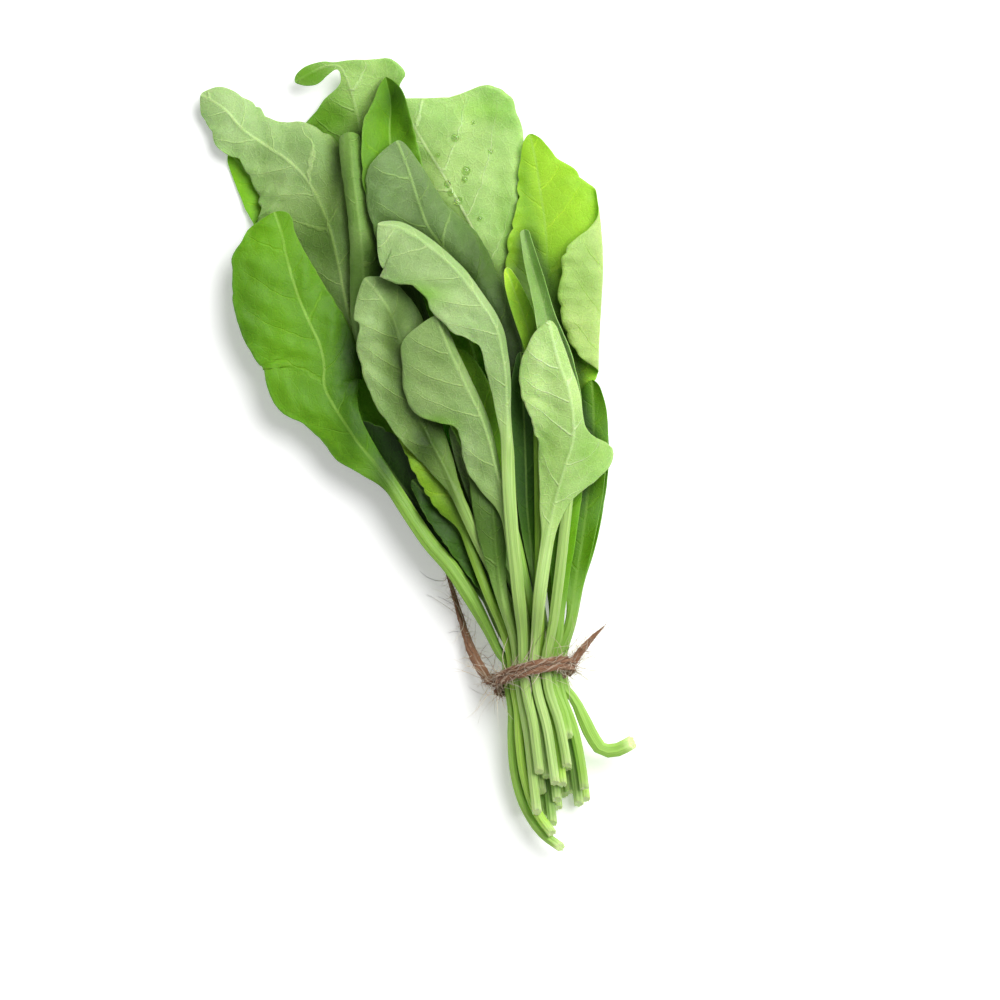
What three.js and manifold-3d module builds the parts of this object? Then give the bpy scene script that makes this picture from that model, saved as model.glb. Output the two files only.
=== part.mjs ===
// A bunch of arugula tied with jute twine, lying on a surface and seen from above.
// Millimetres, +Z up, +Y from the cut stem ends towards the leaf tips.
import * as THREE from 'three';
import { mergeVertices } from 'three/addons/utils/BufferGeometryUtils.js';
import Module from 'manifold-3d';

const wasm = await Module();
wasm.setup();

// Sizes of a stem, a blade and the packed stems in the tie
const STEM = 2.5;
const PITCH = 2.8;
const ROW_STEP = 2.6;
const BLADE = 0.85;
const RIB = 0.5;
const FLOOR_CUT = 0.25;

// Below the tie the bundle bends a little and spreads: places of its middle, and the spread there.
const FOOT_AXIS = [[-53.75, 33.75], [-63, 36], [-75, 38], [-90, 39.8], [-99, 40.6]];
const FOOT_SPREAD = [[-53.75, 1], [-63, 1.12], [-75, 1.26], [-90, 1.28], [-99, 1.25]];
const FOOT_DROP = 3.6;

// The tie: the middle of the bundle there, and the twine round it
const TIE_X = 33.75;
const TIE_Y = -53.75;
const TWINE = 2;
const FIRST_ROW_Z = 4.7;
const TIE_MIDDLE_Z = FIRST_ROW_Z + 2.5 * ROW_STEP;
const TIE_HALF_WIDTH = 8.75;
const TIE_HALF_HEIGHT = 9.4;

// Colours of the parts
const SAGE = 0x8fb56a;
const BRIGHT = 0x6fa62f;
const PALE = 0xb3d489;
const LIME = 0x9fd63c;
const DARK = 0x5f8f42;
const JUTE = 0x9c7a58;

// The leaves from the lowest to the top one.
// slot: column and row of the stem in the tie. cut: where along Y the stem is cut.
// foot: the route below the tie, where it isn't the common one.
// stalk, cutWidth: width of the leaf stalk above the tie and of its cut end.
// rib: the midrib in plan from above the tie to the tip, with a height step where a third number stands.
// blade: its length from the tip. rest: the least height of the blade over the floor.
// left, right: half-widths along the blade, seen from the stem, as pairs of a share of its length and mm.
// tilt: how far each half rises from the midrib, in degrees. curl: how far it turns on towards the margin.
// wave: height of the waves at the two margins, and their number.
// across: cells in each half of the ring. rings, extra: number of rings along the blade, and more of them.
// fold: start, radius and angle of a fold in the right half.
const LEAVES = [
  {
    name: 'leaf_hidden_middle', colour: BRIGHT, slot: [0.5, 0], cut: -85, blade: 106, rest: 1.2,
    rib: [[33, -35], [29.2, -14], [24.4, 6], [19, 25], [13.5, 44], [9.5, 62]],
    left: [[0, 1.3], [0.07, 4], [0.2, 10.5], [0.35, 13.5], [0.5, 14.5], [0.7, 15], [0.85, 14],
      [0.95, 8], [1, 2]],
    right: [[0, 1.3], [0.07, 3.5], [0.2, 6], [0.35, 8], [0.6, 10], [0.85, 8], [1, 2]],
    tilt: [3, 3], curl: [10, 10], wave: [0.5, 0.5, 3.5], across: 2, rings: 11, floor: true,
  },
  {
    name: 'leaf_hidden_west', colour: BRIGHT, slot: [-1.5, 0], cut: -84, blade: 131, rest: 1.2,
    rib: [[24.6, -37], [14.5, -16], [3, 4], [-8.5, 24], [-18, 40], [-27, 55.5], [-35.5, 68], [-43, 77.5]],
    left: [[0, 1.3], [0.06, 1.8], [0.2, 3], [0.36, 7.5], [0.5, 9], [0.8, 7.5], [0.92, 5], [1, 1.5]],
    right: [[0, 1.3], [0.06, 2.4], [0.2, 5], [0.38, 8], [0.5, 10], [0.65, 10], [0.82, 9], [0.92, 6],
      [1, 1.5]],
    tilt: [4, 4], curl: [14, 10], wave: [0.7, 0.7, 4], across: 2, rings: 14, floor: true,
  },
  {
    name: 'leaf_north_pale', colour: PALE, slot: [-0.5, 0], cut: -92, blade: 96, rest: 1.2,
    rib: [[26, -30], [12, 2], [2, 25], [-5, 45], [-8, 60], [-9.6, 76], [-10.6, 86], [-12, 91.5, 1.5],
      [-13.4, 95.6, 2.6], [-15.4, 98.7, 3.4], [-19, 98.6, 3.8], [-22.8, 96.8, 3.4], [-26.4, 94.8, 2.6]],
    left: [[0, 1.3], [0.3, 9], [0.46, 14], [0.6, 17], [0.7, 17.6], [0.735, 13.6], [0.765, 10.4],
      [0.793, 7.6], [0.815, 3.8], [0.8375, 1.5], [0.876, 0.9], [0.913, 2.6], [0.957, 3.4], [1, 1.4]],
    right: [[0, 1.3], [0.3, 9], [0.46, 10], [0.63, 9], [0.7, 9], [0.74, 10.5], [0.775, 12.4],
      [0.8, 14.6], [0.835, 12], [0.855, 6], [0.876, 1.2], [0.913, 1.3], [0.957, 2], [1, 1.2]],
    tilt: [-6, -4], curl: [-10, -14], wave: [0.5, 0.4, 2.5], rings: 15,
    extra: [0.74, 0.815, 0.8375, 0.876, 0.957],
    floor: true,
  },
  {
    name: 'leaf_hidden_east', colour: LIME, slot: [1.5, 0], cut: -87, blade: 116, rest: 1.2,
    rib: [[39, -35], [40.8, -12], [41.8, 8], [42, 28], [41.5, 45], [38.5, 61], [34.5, 74]],
    left: [[0, 1.3], [0.1, 3], [0.3, 6.5], [0.6, 10], [0.85, 11], [0.95, 8.5], [1, 2]],
    right: [[0, 1.3], [0.1, 3], [0.3, 5.5], [0.6, 7], [0.85, 6.5], [1, 2]],
    tilt: [3, 6], curl: [8, 18], wave: [0.5, 0.7, 4], rings: 13, floor: true,
  },
  {
    name: 'leaf_west_outer', colour: SAGE, slot: [-2, 1], cut: -88, blade: 79, rest: 5, stalk: 3.1,
    rib: [[19.6, -30], [5.6, 0], [-6, 22], [-12, 34], [-15.5, 49], [-17, 55.8], [-20, 64.3], [-23.1, 70],
      [-27, 74.3], [-34.5, 79.5], [-39.5, 83], [-44, 88], [-50, 91.8]],
    left: [[0, 1.4], [0.12, 6], [0.25, 11], [0.35, 15], [0.47, 17.5], [0.55, 16], [0.62, 13.5],
      [0.7, 10.5], [0.78, 7.2], [0.84, 7.8], [0.9, 6.5], [0.96, 5], [1, 2]],
    right: [[0, 1.4], [0.15, 4], [0.3, 5], [0.38, 7], [0.46, 10], [0.54, 12.8], [0.62, 12.6], [0.7, 9.8],
      [0.76, 7], [0.84, 7.5], [0.9, 6], [0.96, 4.5], [1, 2]],
    tilt: [-4, 8], curl: [-12, -50], wave: [0.7, 0.4, 4], across: 4, rings: 18,
  },
  {
    name: 'leaf_rolled', colour: SAGE, slot: [-1, 1], cut: -90, blade: 66, rest: 8,
    rib: [[25, -32], [11.6, -6], [-1, 18], [-8, 33], [-9, 44], [-9.5, 52.5], [-10.4, 61.3], [-11.2, 67.5],
      [-12, 73.8], [-12.8, 82]],
    left: [[0, 1.4], [0.2, 5], [0.45, 7], [0.7, 7.4], [0.9, 7.3], [1, 6.4]],
    right: [[0, 1.4], [0.2, 5.5], [0.45, 8.5], [0.6, 8.5], [0.7, 7.6], [0.9, 7.3], [1, 6.4]],
    tilt: [[[0, -4], [0.3, -10], [1, 0]], [[0, -4], [0.3, -10], [1, 0]]],
    curl: [[[0, -20], [0.35, -80], [0.7, -150], [1, -150]], [[0, -20], [0.35, -50], [0.6, -80],
      [0.75, -150], [1, -150]]],
    wave: [0, 0, 1], across: 4, rings: 12,
  },
  {
    name: 'leaf_north_east', colour: PALE, slot: [1, 1], cut: -84, blade: 60, rest: 6, stalk: 3,
    rib: [[33.5, -30], [30.5, -8], [28.6, 10], [26.4, 30], [23.5, 44], [19.9, 54.3], [15.8, 62.5],
      [11.2, 70.8], [6.5, 78.5], [2.2, 85.8], [-0.6, 90.5]],
    left: [[0, 1.4], [0.11, 3], [0.3, 6], [0.46, 8], [0.62, 8], [0.76, 7], [0.88, 5], [1, 2]],
    right: [[0, 1.4], [0.11, 3.2], [0.3, 8.5], [0.46, 15.5], [0.62, 22], [0.74, 23.8], [0.81, 23.2],
      [0.85, 21.4], [0.868, 19.6], [0.88, 16.6], [0.89, 11.5], [0.91, 9], [0.947, 5.4], [1, 1.8]],
    tilt: [4, 6], curl: [6, [[0, -6], [0.5, -26], [1, -4]]], wave: [0.3, 0.9, 2.5], across: 4, rings: 13,
    extra: [0.85, 0.87, 0.887],
  },
  {
    name: 'leaf_north_cup', colour: BRIGHT, slot: [0, 1], cut: -88, blade: 54, rest: 6,
    rib: [[26, -26], [18, 0], [10, 24], [3, 46], [-1, 68], [-2.6, 82], [-2.4, 90], [-3.6, 96]],
    left: [[0, 1.3], [0.2, 5], [0.45, 8], [0.65, 7.8], [0.8, 7.4], [0.92, 4.6], [1, 0.8]],
    right: [[0, 1.3], [0.2, 5], [0.45, 8], [0.65, 7.5], [0.8, 7.4], [0.92, 5], [1, 0.8]],
    tilt: [[[0, 4], [0.6, 10], [0.85, 32], [1, 30]], [[0, 4], [0.6, 8], [0.85, 40], [1, 34]]],
    curl: [10, 16],
    wave: [0.3, 0.4, 2], rings: 12,
  },
  {
    name: 'leaf_east_folded', colour: LIME, slot: [2, 1], cut: -86, blade: 80, rest: 6, stalk: 3,
    rib: [[39.5, -34], [39.6, -22], [38.8, -10], [37, 8], [35.8, 25], [36.3, 37.8], [36.8, 47.8],
      [36.3, 59.3], [35.3, 66.3], [34, 75], [32.5, 81.8]],
    left: [[0, 1.4], [0.2, 5], [0.4, 9], [0.6, 10.5], [0.71, 9], [0.78, 6.5], [0.86, 5.5],
      [0.93, 3.8], [1, 1.5]],
    right: [[0, 1.4], [0.1, 5.5], [0.2, 12], [0.26, 17], [0.32, 22], [0.44, 26], [0.565, 26.5],
      [0.63, 25], [0.68, 20], [0.72, 16], [0.79, 14.5], [0.83, 11.7], [0.87, 9.4], [0.92, 5.2], [1, 1.6]],
    tilt: [4, 5], curl: [8, 0], wave: [0.6, 0.5, 3], fold: [12.4, 1.5, 168], across: 4, rings: 17,
    reach: [0.3, 0.47, 0.56, 0.66, 1],
  },
  {
    name: 'leaf_bent_stem', colour: BRIGHT, slot: [2.5, 2], blade: 48, rest: 4, cutWidth: 3.6,
    foot: [[43.6, -60], [46.2, -65.5], [48.6, -70.2], [50.6, -72.6], [53.6, -72.8], [58.7, -70.4]],
    rib: [[43, -40], [46, -22], [48, -5], [48.8, 6], [48.2, 15]],
    left: [[0, 1.4], [0.2, 3.4], [0.35, 4.8], [0.6, 7], [0.87, 6], [1, 2]],
    right: [[0, 1.4], [0.25, 3], [0.55, 4], [0.85, 3.4], [1, 1.6]],
    tilt: [4, 8], curl: [8, 20], wave: [0.5, 0.8, 3], rings: 9,
  },
  {
    name: 'leaf_centre_back', colour: DARK, slot: [0.5, 2], cut: -80, blade: 77, rest: 13, stalk: 3,
    rib: [[32.8, -40], [30.6, -20], [29, -2], [27.4, 14], [25.6, 28], [22.8, 36.5], [18.6, 43.4],
      [13.8, 49.5], [11, 53], [7.25, 58.1], [4.5, 65.2], [2.65, 71.1], [0.75, 76.2], [-0.75, 79.75]],
    left: [[0, 1.3], [0.1, 3], [0.24, 5], [0.36, 6.6], [0.46, 8], [0.56, 10], [0.63, 12], [0.7, 13],
      [0.8, 13], [0.88, 11.8], [0.93, 10.6], [0.96, 9.6], [0.985, 7.6], [1, 4.5]],
    right: [[0, 1.3], [0.1, 3], [0.24, 5.5], [0.36, 6.6], [0.46, 8.5], [0.56, 10.8], [0.63, 10.8],
      [0.7, 9.2], [0.8, 6.2], [0.88, 4.2], [0.95, 2.6], [1, 2.4]],
    tilt: [4, [[0, 10], [0.5, 28], [1, 12]]], curl: [-18, [[0, -30], [0.5, -105], [1, -60]]],
    wave: [0.3, 0.2, 3], across: 4, rings: 15,
  },
  {
    name: 'leaf_dark_fold', colour: DARK, slot: [-1.5, 2], cut: -84.5, blade: 56, rest: 9,
    rib: [[25.4, -43], [20.2, -32], [13.4, -22], [6.4, -13.5], [0.2, -6], [-4.6, 0.5], [-8.8, 5.5],
      [-12, 9.3]],
    left: [[0, 1.3], [0.08, 2.8], [0.2, 3.8], [0.35, 4], [0.5, 3.6], [0.8, 3.8], [1, 1.6]],
    right: [[0, 1.3], [0.1, 2.2], [0.3, 3], [0.45, 3.6], [0.58, 5], [0.72, 7.2], [0.86, 6.8], [0.95, 4],
      [1, 1.5]],
    tilt: [6, 18], curl: [0, 20], wave: [0, 0.8, 2], rings: 9,
  },
  {
    name: 'leaf_west_front', colour: BRIGHT, slot: [-2.5, 2], foot: [[28, -62], [28, -70],
      [28.6, -78], [31.2, -87],
      [35.6, -93.6], [41, -97.6]], blade: 77, rest: 11, stalk: 4,
    rib: [[25.4, -49], [22, -42.5], [17.5, -34.3], [12.3, -26.5], [7.5, -21], [3, -14.5], [-2, -6.8],
      [-7, 0], [-11, 5], [-14.3, 10], [-17, 14.3], [-18.8, 18], [-19.1, 24.5], [-19.9, 28.3], [-22.5, 34],
      [-25.3, 40.5], [-28.3, 50.5], [-29.8, 57.3], [-31.4, 62]],
    left: [[0, 1.9], [0.11, 4.7], [0.2, 7], [0.28, 7.6], [0.337, 9.2], [0.365, 10.6], [0.39, 12.8],
      [0.43, 14.8], [0.476, 15.4], [0.535, 15.8], [0.65, 16.8], [0.75, 16.2], [0.834, 14.5], [0.88, 13.4],
      [0.925, 11.2], [0.97, 8.4], [1, 4]],
    right: [[0, 1.9], [0.11, 2.5], [0.19, 3.5], [0.27, 4.6], [0.337, 7.4], [0.39, 9.6], [0.476, 9.6],
      [0.55, 9], [0.65, 8.2], [0.75, 6.8], [0.834, 5.2], [0.925, 3.3], [0.96, 3.6], [1, 3]],
    tilt: [4, [[0, 4], [0.4, -8], [1, 4]]], curl: [-14, -10], wave: [0.4, 0.4, 3], across: 4, rings: 17,
  },
  {
    name: 'leaf_dark_wavy', colour: DARK, slot: [-0.5, 2], cut: -92, blade: 42, rest: 11,
    rib: [[29, -44], [24.6, -34], [19.4, -25], [13.4, -16.6], [7.6, -10], [3, -5]],
    left: [[0, 1.3], [0.3, 4.4], [0.7, 4.6], [1, 1.2]],
    right: [[0, 1.3], [0.3, 4], [0.65, 5], [0.9, 3], [1, 1.2]],
    tilt: [14, 4], curl: [20, 10], wave: [0.8, 0.6, 4], rings: 9,
  },
  {
    name: 'leaf_dark_strip', colour: DARK, slot: [1.5, 2], cut: -87, blade: 58, rest: 12,
    rib: [[36, -42], [33.4, -26], [31.8, -12], [31.4, 0], [30.8, 14], [30.2, 27]],
    left: [[0, 1.2], [0.3, 2.4], [0.6, 3.4], [0.85, 3.2], [1, 1]],
    right: [[0, 1.2], [0.3, 2.4], [0.7, 3], [1, 1]],
    tilt: [20, 20], curl: [10, 10], wave: [0.2, 0.2, 2], across: 2, rings: 9,
  },
  {
    name: 'leaf_bright_edge', colour: LIME, slot: [-2, 3], foot: [[29.5, -62], [29.9, -70], [31.1, -79],
      [34.2, -88], [38.4, -94]], blade: 34, rest: 14,
    rib: [[26.4, -44], [21.8, -33], [17.6, -22], [14, -12], [10, -4], [5, 4], [0, 8.5]],
    left: [[0, 1.2], [0.1, 1.5], [0.3, 4.5], [0.6, 5.5], [0.85, 4.2], [1, 1.5]],
    right: [[0, 1.2], [0.3, 3], [0.6, 4], [0.85, 3], [1, 1.5]],
    tilt: [8, 0], curl: [-10, 0], wave: [0.5, 0.2, 3], rings: 9,
  },
  {
    name: 'leaf_inner_narrow', colour: DARK, slot: [0, 3], cut: -86, blade: 46, rest: 14,
    rib: [[31.9, -43], [28, -30], [23.2, -19], [19, -9], [15.4, 1], [12.9, 8.5]],
    left: [[0, 1.2], [0.4, 1.8], [0.8, 1.9], [1, 1]],
    right: [[0, 1.2], [0.4, 1.8], [0.8, 1.9], [1, 1]],
    tilt: [8, 8], curl: [10, 10], wave: [0, 0, 1], across: 2, rings: 7,
  },
  {
    name: 'leaf_middle', colour: SAGE, slot: [-1, 3], cut: -84, blade: 60, rest: 17, stalk: 3,
    rib: [[29, -42], [24.4, -30], [19.2, -19.5], [14.8, -10], [10.8, -1.3], [6.3, 7.5], [3.3, 15],
      [1.3, 23.8], [-0.7, 32.5], [-4.3, 40], [-8.8, 45.3]],
    left: [[0, 1.6], [0.16, 4], [0.32, 6.8], [0.45, 9.2], [0.6, 11], [0.75, 10.8], [0.84, 8.2], [0.88, 9],
      [0.94, 6.5], [1, 2.5]],
    right: [[0, 1.6], [0.16, 3.5], [0.45, 7], [0.6, 8], [0.75, 8], [0.9, 6], [1, 2.5]],
    tilt: [4, -20], curl: [-18, -20], wave: [0.8, 0.3, 4], across: 4, rings: 14,
  },
  {
    name: 'leaf_hidden_core', colour: BRIGHT, slot: [1, 3], cut: -78, blade: 46, rest: 12,
    rib: [[33, -38], [29, -20], [24, -2], [19, 14], [13, 28]],
    left: [[0, 1.3], [0.3, 5], [0.6, 8], [0.9, 6], [1, 1.5]],
    right: [[0, 1.3], [0.3, 4], [0.6, 5.5], [0.9, 4], [1, 1.5]],
    tilt: [6, 6], curl: [6, 6], wave: [0.4, 0.4, 2], across: 2, rings: 7,
  },
  {
    name: 'leaf_south_east', colour: BRIGHT, slot: [2, 3], cut: -82.7, blade: 60, rest: 9,
    rib: [[42, -42], [44, -30], [46, -17], [47.5, -4], [48.5, 9], [48, 20]],
    left: [[0, 1.3], [0.15, 2.6], [0.35, 4.4], [0.6, 6.5], [0.87, 5], [1, 1.6]],
    right: [[0, 1.3], [0.2, 2.4], [0.4, 3.4], [0.6, 4], [0.87, 3.4], [1, 1.6]],
    tilt: [4, 8], curl: [-8, 14], wave: [0.6, 0.8, 3], rings: 9,
  },
  {
    name: 'leaf_winged', colour: SAGE, slot: [-1.5, 4], cut: -89, blade: 50, rest: 17, stalk: 2.8,
    rib: [[28.4, -44], [26.2, -37], [24.3, -25], [23, -10], [21, 2], [18.8, 11]],
    left: [[0, 1.3], [0.2, 2.5], [0.5, 5], [0.8, 4.5], [1, 1.5]],
    right: [[0, 1.3], [0.2, 1.8], [0.5, 3.5], [0.8, 3], [1, 1.5]],
    tilt: [-6, 4], curl: [-8, 8], wave: [0.2, 0.2, 2], across: 2, rings: 9,
  },
  {
    name: 'leaf_saturated', colour: BRIGHT, slot: [1.5, 4], cut: -70, blade: 46, rest: 15,
    rib: [[39.5, -44], [39.8, -37], [39.9, -28], [40.5, -20], [41, -12.5], [42, -5], [43, 5]],
    left: [[0, 1.2], [0.15, 1.8], [0.4, 3], [0.7, 4.2], [0.9, 3.2], [1, 1.2]],
    right: [[0, 1.2], [0.15, 2], [0.4, 3.2], [0.7, 4], [0.9, 2.8], [1, 1.2]],
    tilt: [6, 6], curl: [4, 4], wave: [0.2, 0.3, 2], across: 2, rings: 9,
  },
  {
    name: 'leaf_yellow_tip', colour: LIME, slot: [0.5, 4], cut: -82, blade: 34, rest: 16,
    rib: [[34.8, -40], [34.8, -20], [34.6, 0], [34.2, 15], [33, 29], [31, 36], [28.6, 42.3], [26.6, 48]],
    left: [[0, 1.2], [0.3, 2.2], [0.6, 3], [0.85, 2.3], [1, 0.9]],
    right: [[0, 1.2], [0.3, 2.2], [0.6, 3], [0.85, 2.3], [1, 0.9]],
    tilt: [24, 24], curl: [10, 10], wave: [0, 0, 1], across: 2, rings: 7,
  },
  {
    name: 'leaf_front_oval', colour: SAGE, slot: [-0.5, 4], cut: -80, blade: 55, rest: 22, stalk: 2.9,
    rib: [[31.4, -43], [29, -30], [26.8, -14.5], [25.2, -7], [23.4, 0], [21.9, 5.8], [19.9, 11.5],
      [17.6, 16.3], [14.9, 22], [11.8, 28.8], [9, 36]],
    left: [[0, 1.6], [0.08, 3], [0.16, 5], [0.3, 7.6], [0.41, 7], [0.5, 7.2], [0.56, 11], [0.62, 14.3],
      [0.73, 15.3], [0.87, 12.4], [0.95, 10], [1, 5]],
    right: [[0, 1.6], [0.2, 2.5], [0.5, 4], [0.8, 4.2], [0.95, 3.4], [1, 1.6]],
    tilt: [2, -58], curl: [-22, -20], wave: [0.3, 0, 2], across: 4, rings: 14,
  },
  {
    name: 'leaf_rolled_east', colour: SAGE, slot: [1, 5], cut: -77, blade: 66, rest: 20, stalk: 2.8,
    rib: [[37.6, -44], [39.6, -30], [41.6, -12], [43.2, 3], [42.5, 12.5], [40, 22.5], [37.3, 32.5],
      [35.2, 41], [33, 48.8], [31, 57.3]],
    left: [[0, 1.3], [0.25, 3], [0.5, 5], [0.7, 4.2], [0.85, 3.8], [1, 2.6]],
    right: [[0, 1.3], [0.25, 3], [0.5, 5], [0.7, 3.4], [0.85, 3.6], [1, 2.6]],
    tilt: [[[0, 6], [0.5, 26], [1, 40]], [[0, 6], [0.5, 22], [1, 40]]],
    curl: [[[0, 4], [0.6, 40], [1, 50]], [[0, 4], [0.6, 40], [1, 50]]], wave: [0, 0, 1], rings: 12,
  },
  {
    name: 'leaf_front_long', colour: SAGE, slot: [-1, 5], cut: -78.8, blade: 70, rest: 24, stalk: 3.4,
    rib: [[30.6, -45], [29.2, -30], [27.7, -15], [27, -2.5], [26.7, 11.5], [26.3, 21.3], [25.5, 26.8],
      [24.6, 31.3], [22.8, 35.3], [20.8, 38.3], [17.8, 42.5], [15.3, 45.8], [11.5, 49.6], [7.8, 52.8],
      [3.3, 56], [0, 57.8], [-5.4, 58.4]],
    left: [[0, 1.8], [0.13, 3], [0.27, 4.8], [0.35, 5.2], [0.41, 7.2], [0.48, 10], [0.53, 10.8],
      [0.605, 11.4], [0.66, 10.8], [0.74, 10.4], [0.81, 12.6], [0.89, 13.6], [0.94, 13], [0.98, 10.6],
      [1, 8.4]],
    right: [[0, 1.8], [0.13, 2.6], [0.3, 3.6], [0.6, 4.6], [0.85, 4.4], [0.95, 3.4], [1, 2]],
    tilt: [0, -58], curl: [-20, -20], wave: [0.3, 0, 3], across: 4, rings: 17,
  },
  {
    name: 'leaf_front_pale', colour: PALE, slot: [0, 5], cut: -81.5, blade: 57, rest: 24, stalk: 3.4,
    rib: [[33.9, -44], [34.7, -35], [36, -25], [37.7, -14.8], [39.8, -6.3], [41.5, -0.8], [43.1, 4.3],
      [43.2, 9.8], [42, 17.5], [40, 23], [38.3, 28.8], [37.2, 34.6]],
    left: [[0, 1.8], [0.07, 2.6], [0.23, 4.8], [0.34, 7.2], [0.435, 9.2], [0.54, 10.4], [0.68, 11.8],
      [0.79, 11.2], [0.87, 8.8], [0.93, 5.8], [1, 2]],
    right: [[0, 1.8], [0.1, 2.4], [0.2, 3.8], [0.32, 8.6], [0.41, 11.2], [0.455, 10.6], [0.485, 5.4],
      [0.53, 3.2], [0.68, 3], [0.85, 3], [1, 1.6]],
    tilt: [[[0, 2], [0.4, 6], [1, 2]], [[0, 4], [0.3, -6], [0.6, -30], [1, -30]]], curl: [-24, -8],
    wave: [0.3, 0.3, 2], across: 4, rings: 13, extra: [0.455, 0.49],
  },
];

// Curves through hand-set points
const lerp = (a, b, t) => a + (b - a) * t;

// Hermite through points, with tangents that suit uneven steps, cut into short pieces.
function smoothRoute(points, step) {
  const n = points.length;
  const gap = points.slice(1).map((p, i) => p.distanceTo(points[i]));
  const tangent = points.map((p, i) => {
    if (i === 0) return points[1].clone().sub(p).divideScalar(gap[0]);
    if (i === n - 1) return p.clone().sub(points[i - 1]).divideScalar(gap[n - 2]);
    const before = p.clone().sub(points[i - 1]).divideScalar(gap[i - 1]);
    const after = points[i + 1].clone().sub(p).divideScalar(gap[i]);
    const all = gap[i - 1] + gap[i];
    return before.multiplyScalar(gap[i] / all).addScaledVector(after, gap[i - 1] / all);
  });
  const route = [];
  for (let i = 0; i < n - 1; i++) {
    const cells = Math.max(1, Math.ceil(gap[i] / step));
    for (let k = i ? 1 : 0; k <= cells; k++) {
      const t = k / cells;
      const t2 = t * t;
      const t3 = t2 * t;
      route.push(new THREE.Vector3()
        .addScaledVector(points[i], 2 * t3 - 3 * t2 + 1)
        .addScaledVector(tangent[i], (t3 - 2 * t2 + t) * gap[i])
        .addScaledVector(points[i + 1], 3 * t2 - 2 * t3)
        .addScaledVector(tangent[i + 1], (t3 - t2) * gap[i]));
    }
  }
  return route;
}

// A value along the blade: a plain number, or pairs of share and value joined by smooth steps.
function along(value, v) {
  if (typeof value === 'number') return value;
  const rising = value[0][0] < value[1][0];
  let i = 0;
  while (i < value.length - 2 && (rising ? v > value[i + 1][0] : v < value[i + 1][0])) i++;
  const [v0, a] = value[i];
  const [v1, b] = value[i + 1];
  const before = value[Math.max(i - 1, 0)];
  const after = value[Math.min(i + 2, value.length - 1)];
  const span = v1 - v0;
  const slope0 = (b - before[1]) / (v1 - before[0]);
  const slope1 = (after[1] - a) / (after[0] - v0);
  const t = THREE.MathUtils.clamp((v - v0) / span, 0, 1);
  const t2 = t * t;
  const t3 = t2 * t;
  return (2 * t3 - 3 * t2 + 1) * a + (t3 - 2 * t2 + t) * span * slope0
    + (3 * t2 - 2 * t3) * b + (t3 - t2) * span * slope1;
}

// The whole route of a leaf's midrib, from the cut end through the tie to the tip
const slotPlace = ([column, row]) => new THREE.Vector3(
  TIE_X + column * PITCH, TIE_Y, FIRST_ROW_Z + row * ROW_STEP);

function leafRoute(leaf) {
  const slot = slotPlace(leaf.slot);
  const commonFoot = (y) => [along(FOOT_AXIS, y) + leaf.slot[0] * PITCH * along(FOOT_SPREAD, y), y];
  const footLength = TIE_Y - 5.5 - leaf.cut;
  const foot = leaf.foot || [1, 2, 3].map((k) => commonFoot(TIE_Y - 5.5 - footLength * k / 3));
  const points = [];
  [...foot].reverse().forEach(([x, y]) => {
    const share = THREE.MathUtils.smoothstep(TIE_Y - y, 4, 34);
    points.push(new THREE.Vector3(x, y, slot.z - FOOT_DROP * share));
  });
  points.push(new THREE.Vector3(slot.x + 0.4, TIE_Y - 3, slot.z));
  points.push(slot);
  points.push(new THREE.Vector3(slot.x - 0.25, TIE_Y + 3.5, slot.z));
  leaf.rib.forEach(([x, y, step = 0]) => {
    const share = THREE.MathUtils.smoothstep(y, TIE_Y + 5, TIE_Y + 75);
    points.push(new THREE.Vector3(x, y, lerp(slot.z, leaf.rest, share) + step));
  });
  return smoothRoute(points, 0.5);
}

// Frames along the route that turn as little as they can
function framesAlong(route) {
  const length = [0];
  route.forEach((p, i) => {
    if (i) length.push(length[i - 1] + p.distanceTo(route[i - 1]));
  });
  const frames = [];
  let up = new THREE.Vector3(0, 0, 1);
  route.forEach((p, i) => {
    const before = route[Math.max(i - 1, 0)];
    const ahead = route[Math.min(i + 1, route.length - 1)].clone().sub(before).normalize();
    up = up.clone().addScaledVector(ahead, -up.dot(ahead)).normalize();
    frames.push({ p, ahead, up, s: length[i], side: ahead.clone().cross(up) });
  });
  return frames;
}

function frameAt(frames, s) {
  let i = 0;
  while (i < frames.length - 2 && frames[i + 1].s < s) i++;
  const a = frames[i];
  const b = frames[i + 1];
  const t = THREE.MathUtils.clamp((s - a.s) / (b.s - a.s), 0, 1);
  return {
    p: a.p.clone().lerp(b.p, t),
    up: a.up.clone().lerp(b.up, t).normalize(),
    side: a.side.clone().lerp(b.side, t).normalize(),
  };
}

// One half of the section across the blade: offsets sideways and upwards, and the angle there.
function halfSection(width, tilt, curl, fold, reach) {
  const steps = 60;
  const out = [];
  let x = 0;
  let z = 0;
  let next = 0;
  for (let k = 0; k <= steps; k++) {
    const share = k / steps;
    let angle = tilt + curl * share;
    if (fold) {
      const bend = fold[1] * Math.PI * fold[2] / 180;
      const turned = THREE.MathUtils.clamp((share * width - fold[0]) / bend, 0, 1);
      angle += turned * fold[2];
    }
    angle *= Math.PI / 180;
    while (next < reach.length && share >= reach[next] - 1e-9) {
      out.push({ x, z, angle });
      next++;
    }
    x += Math.cos(angle) * width / steps;
    z += Math.sin(angle) * width / steps;
  }
  return out;
}

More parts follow.
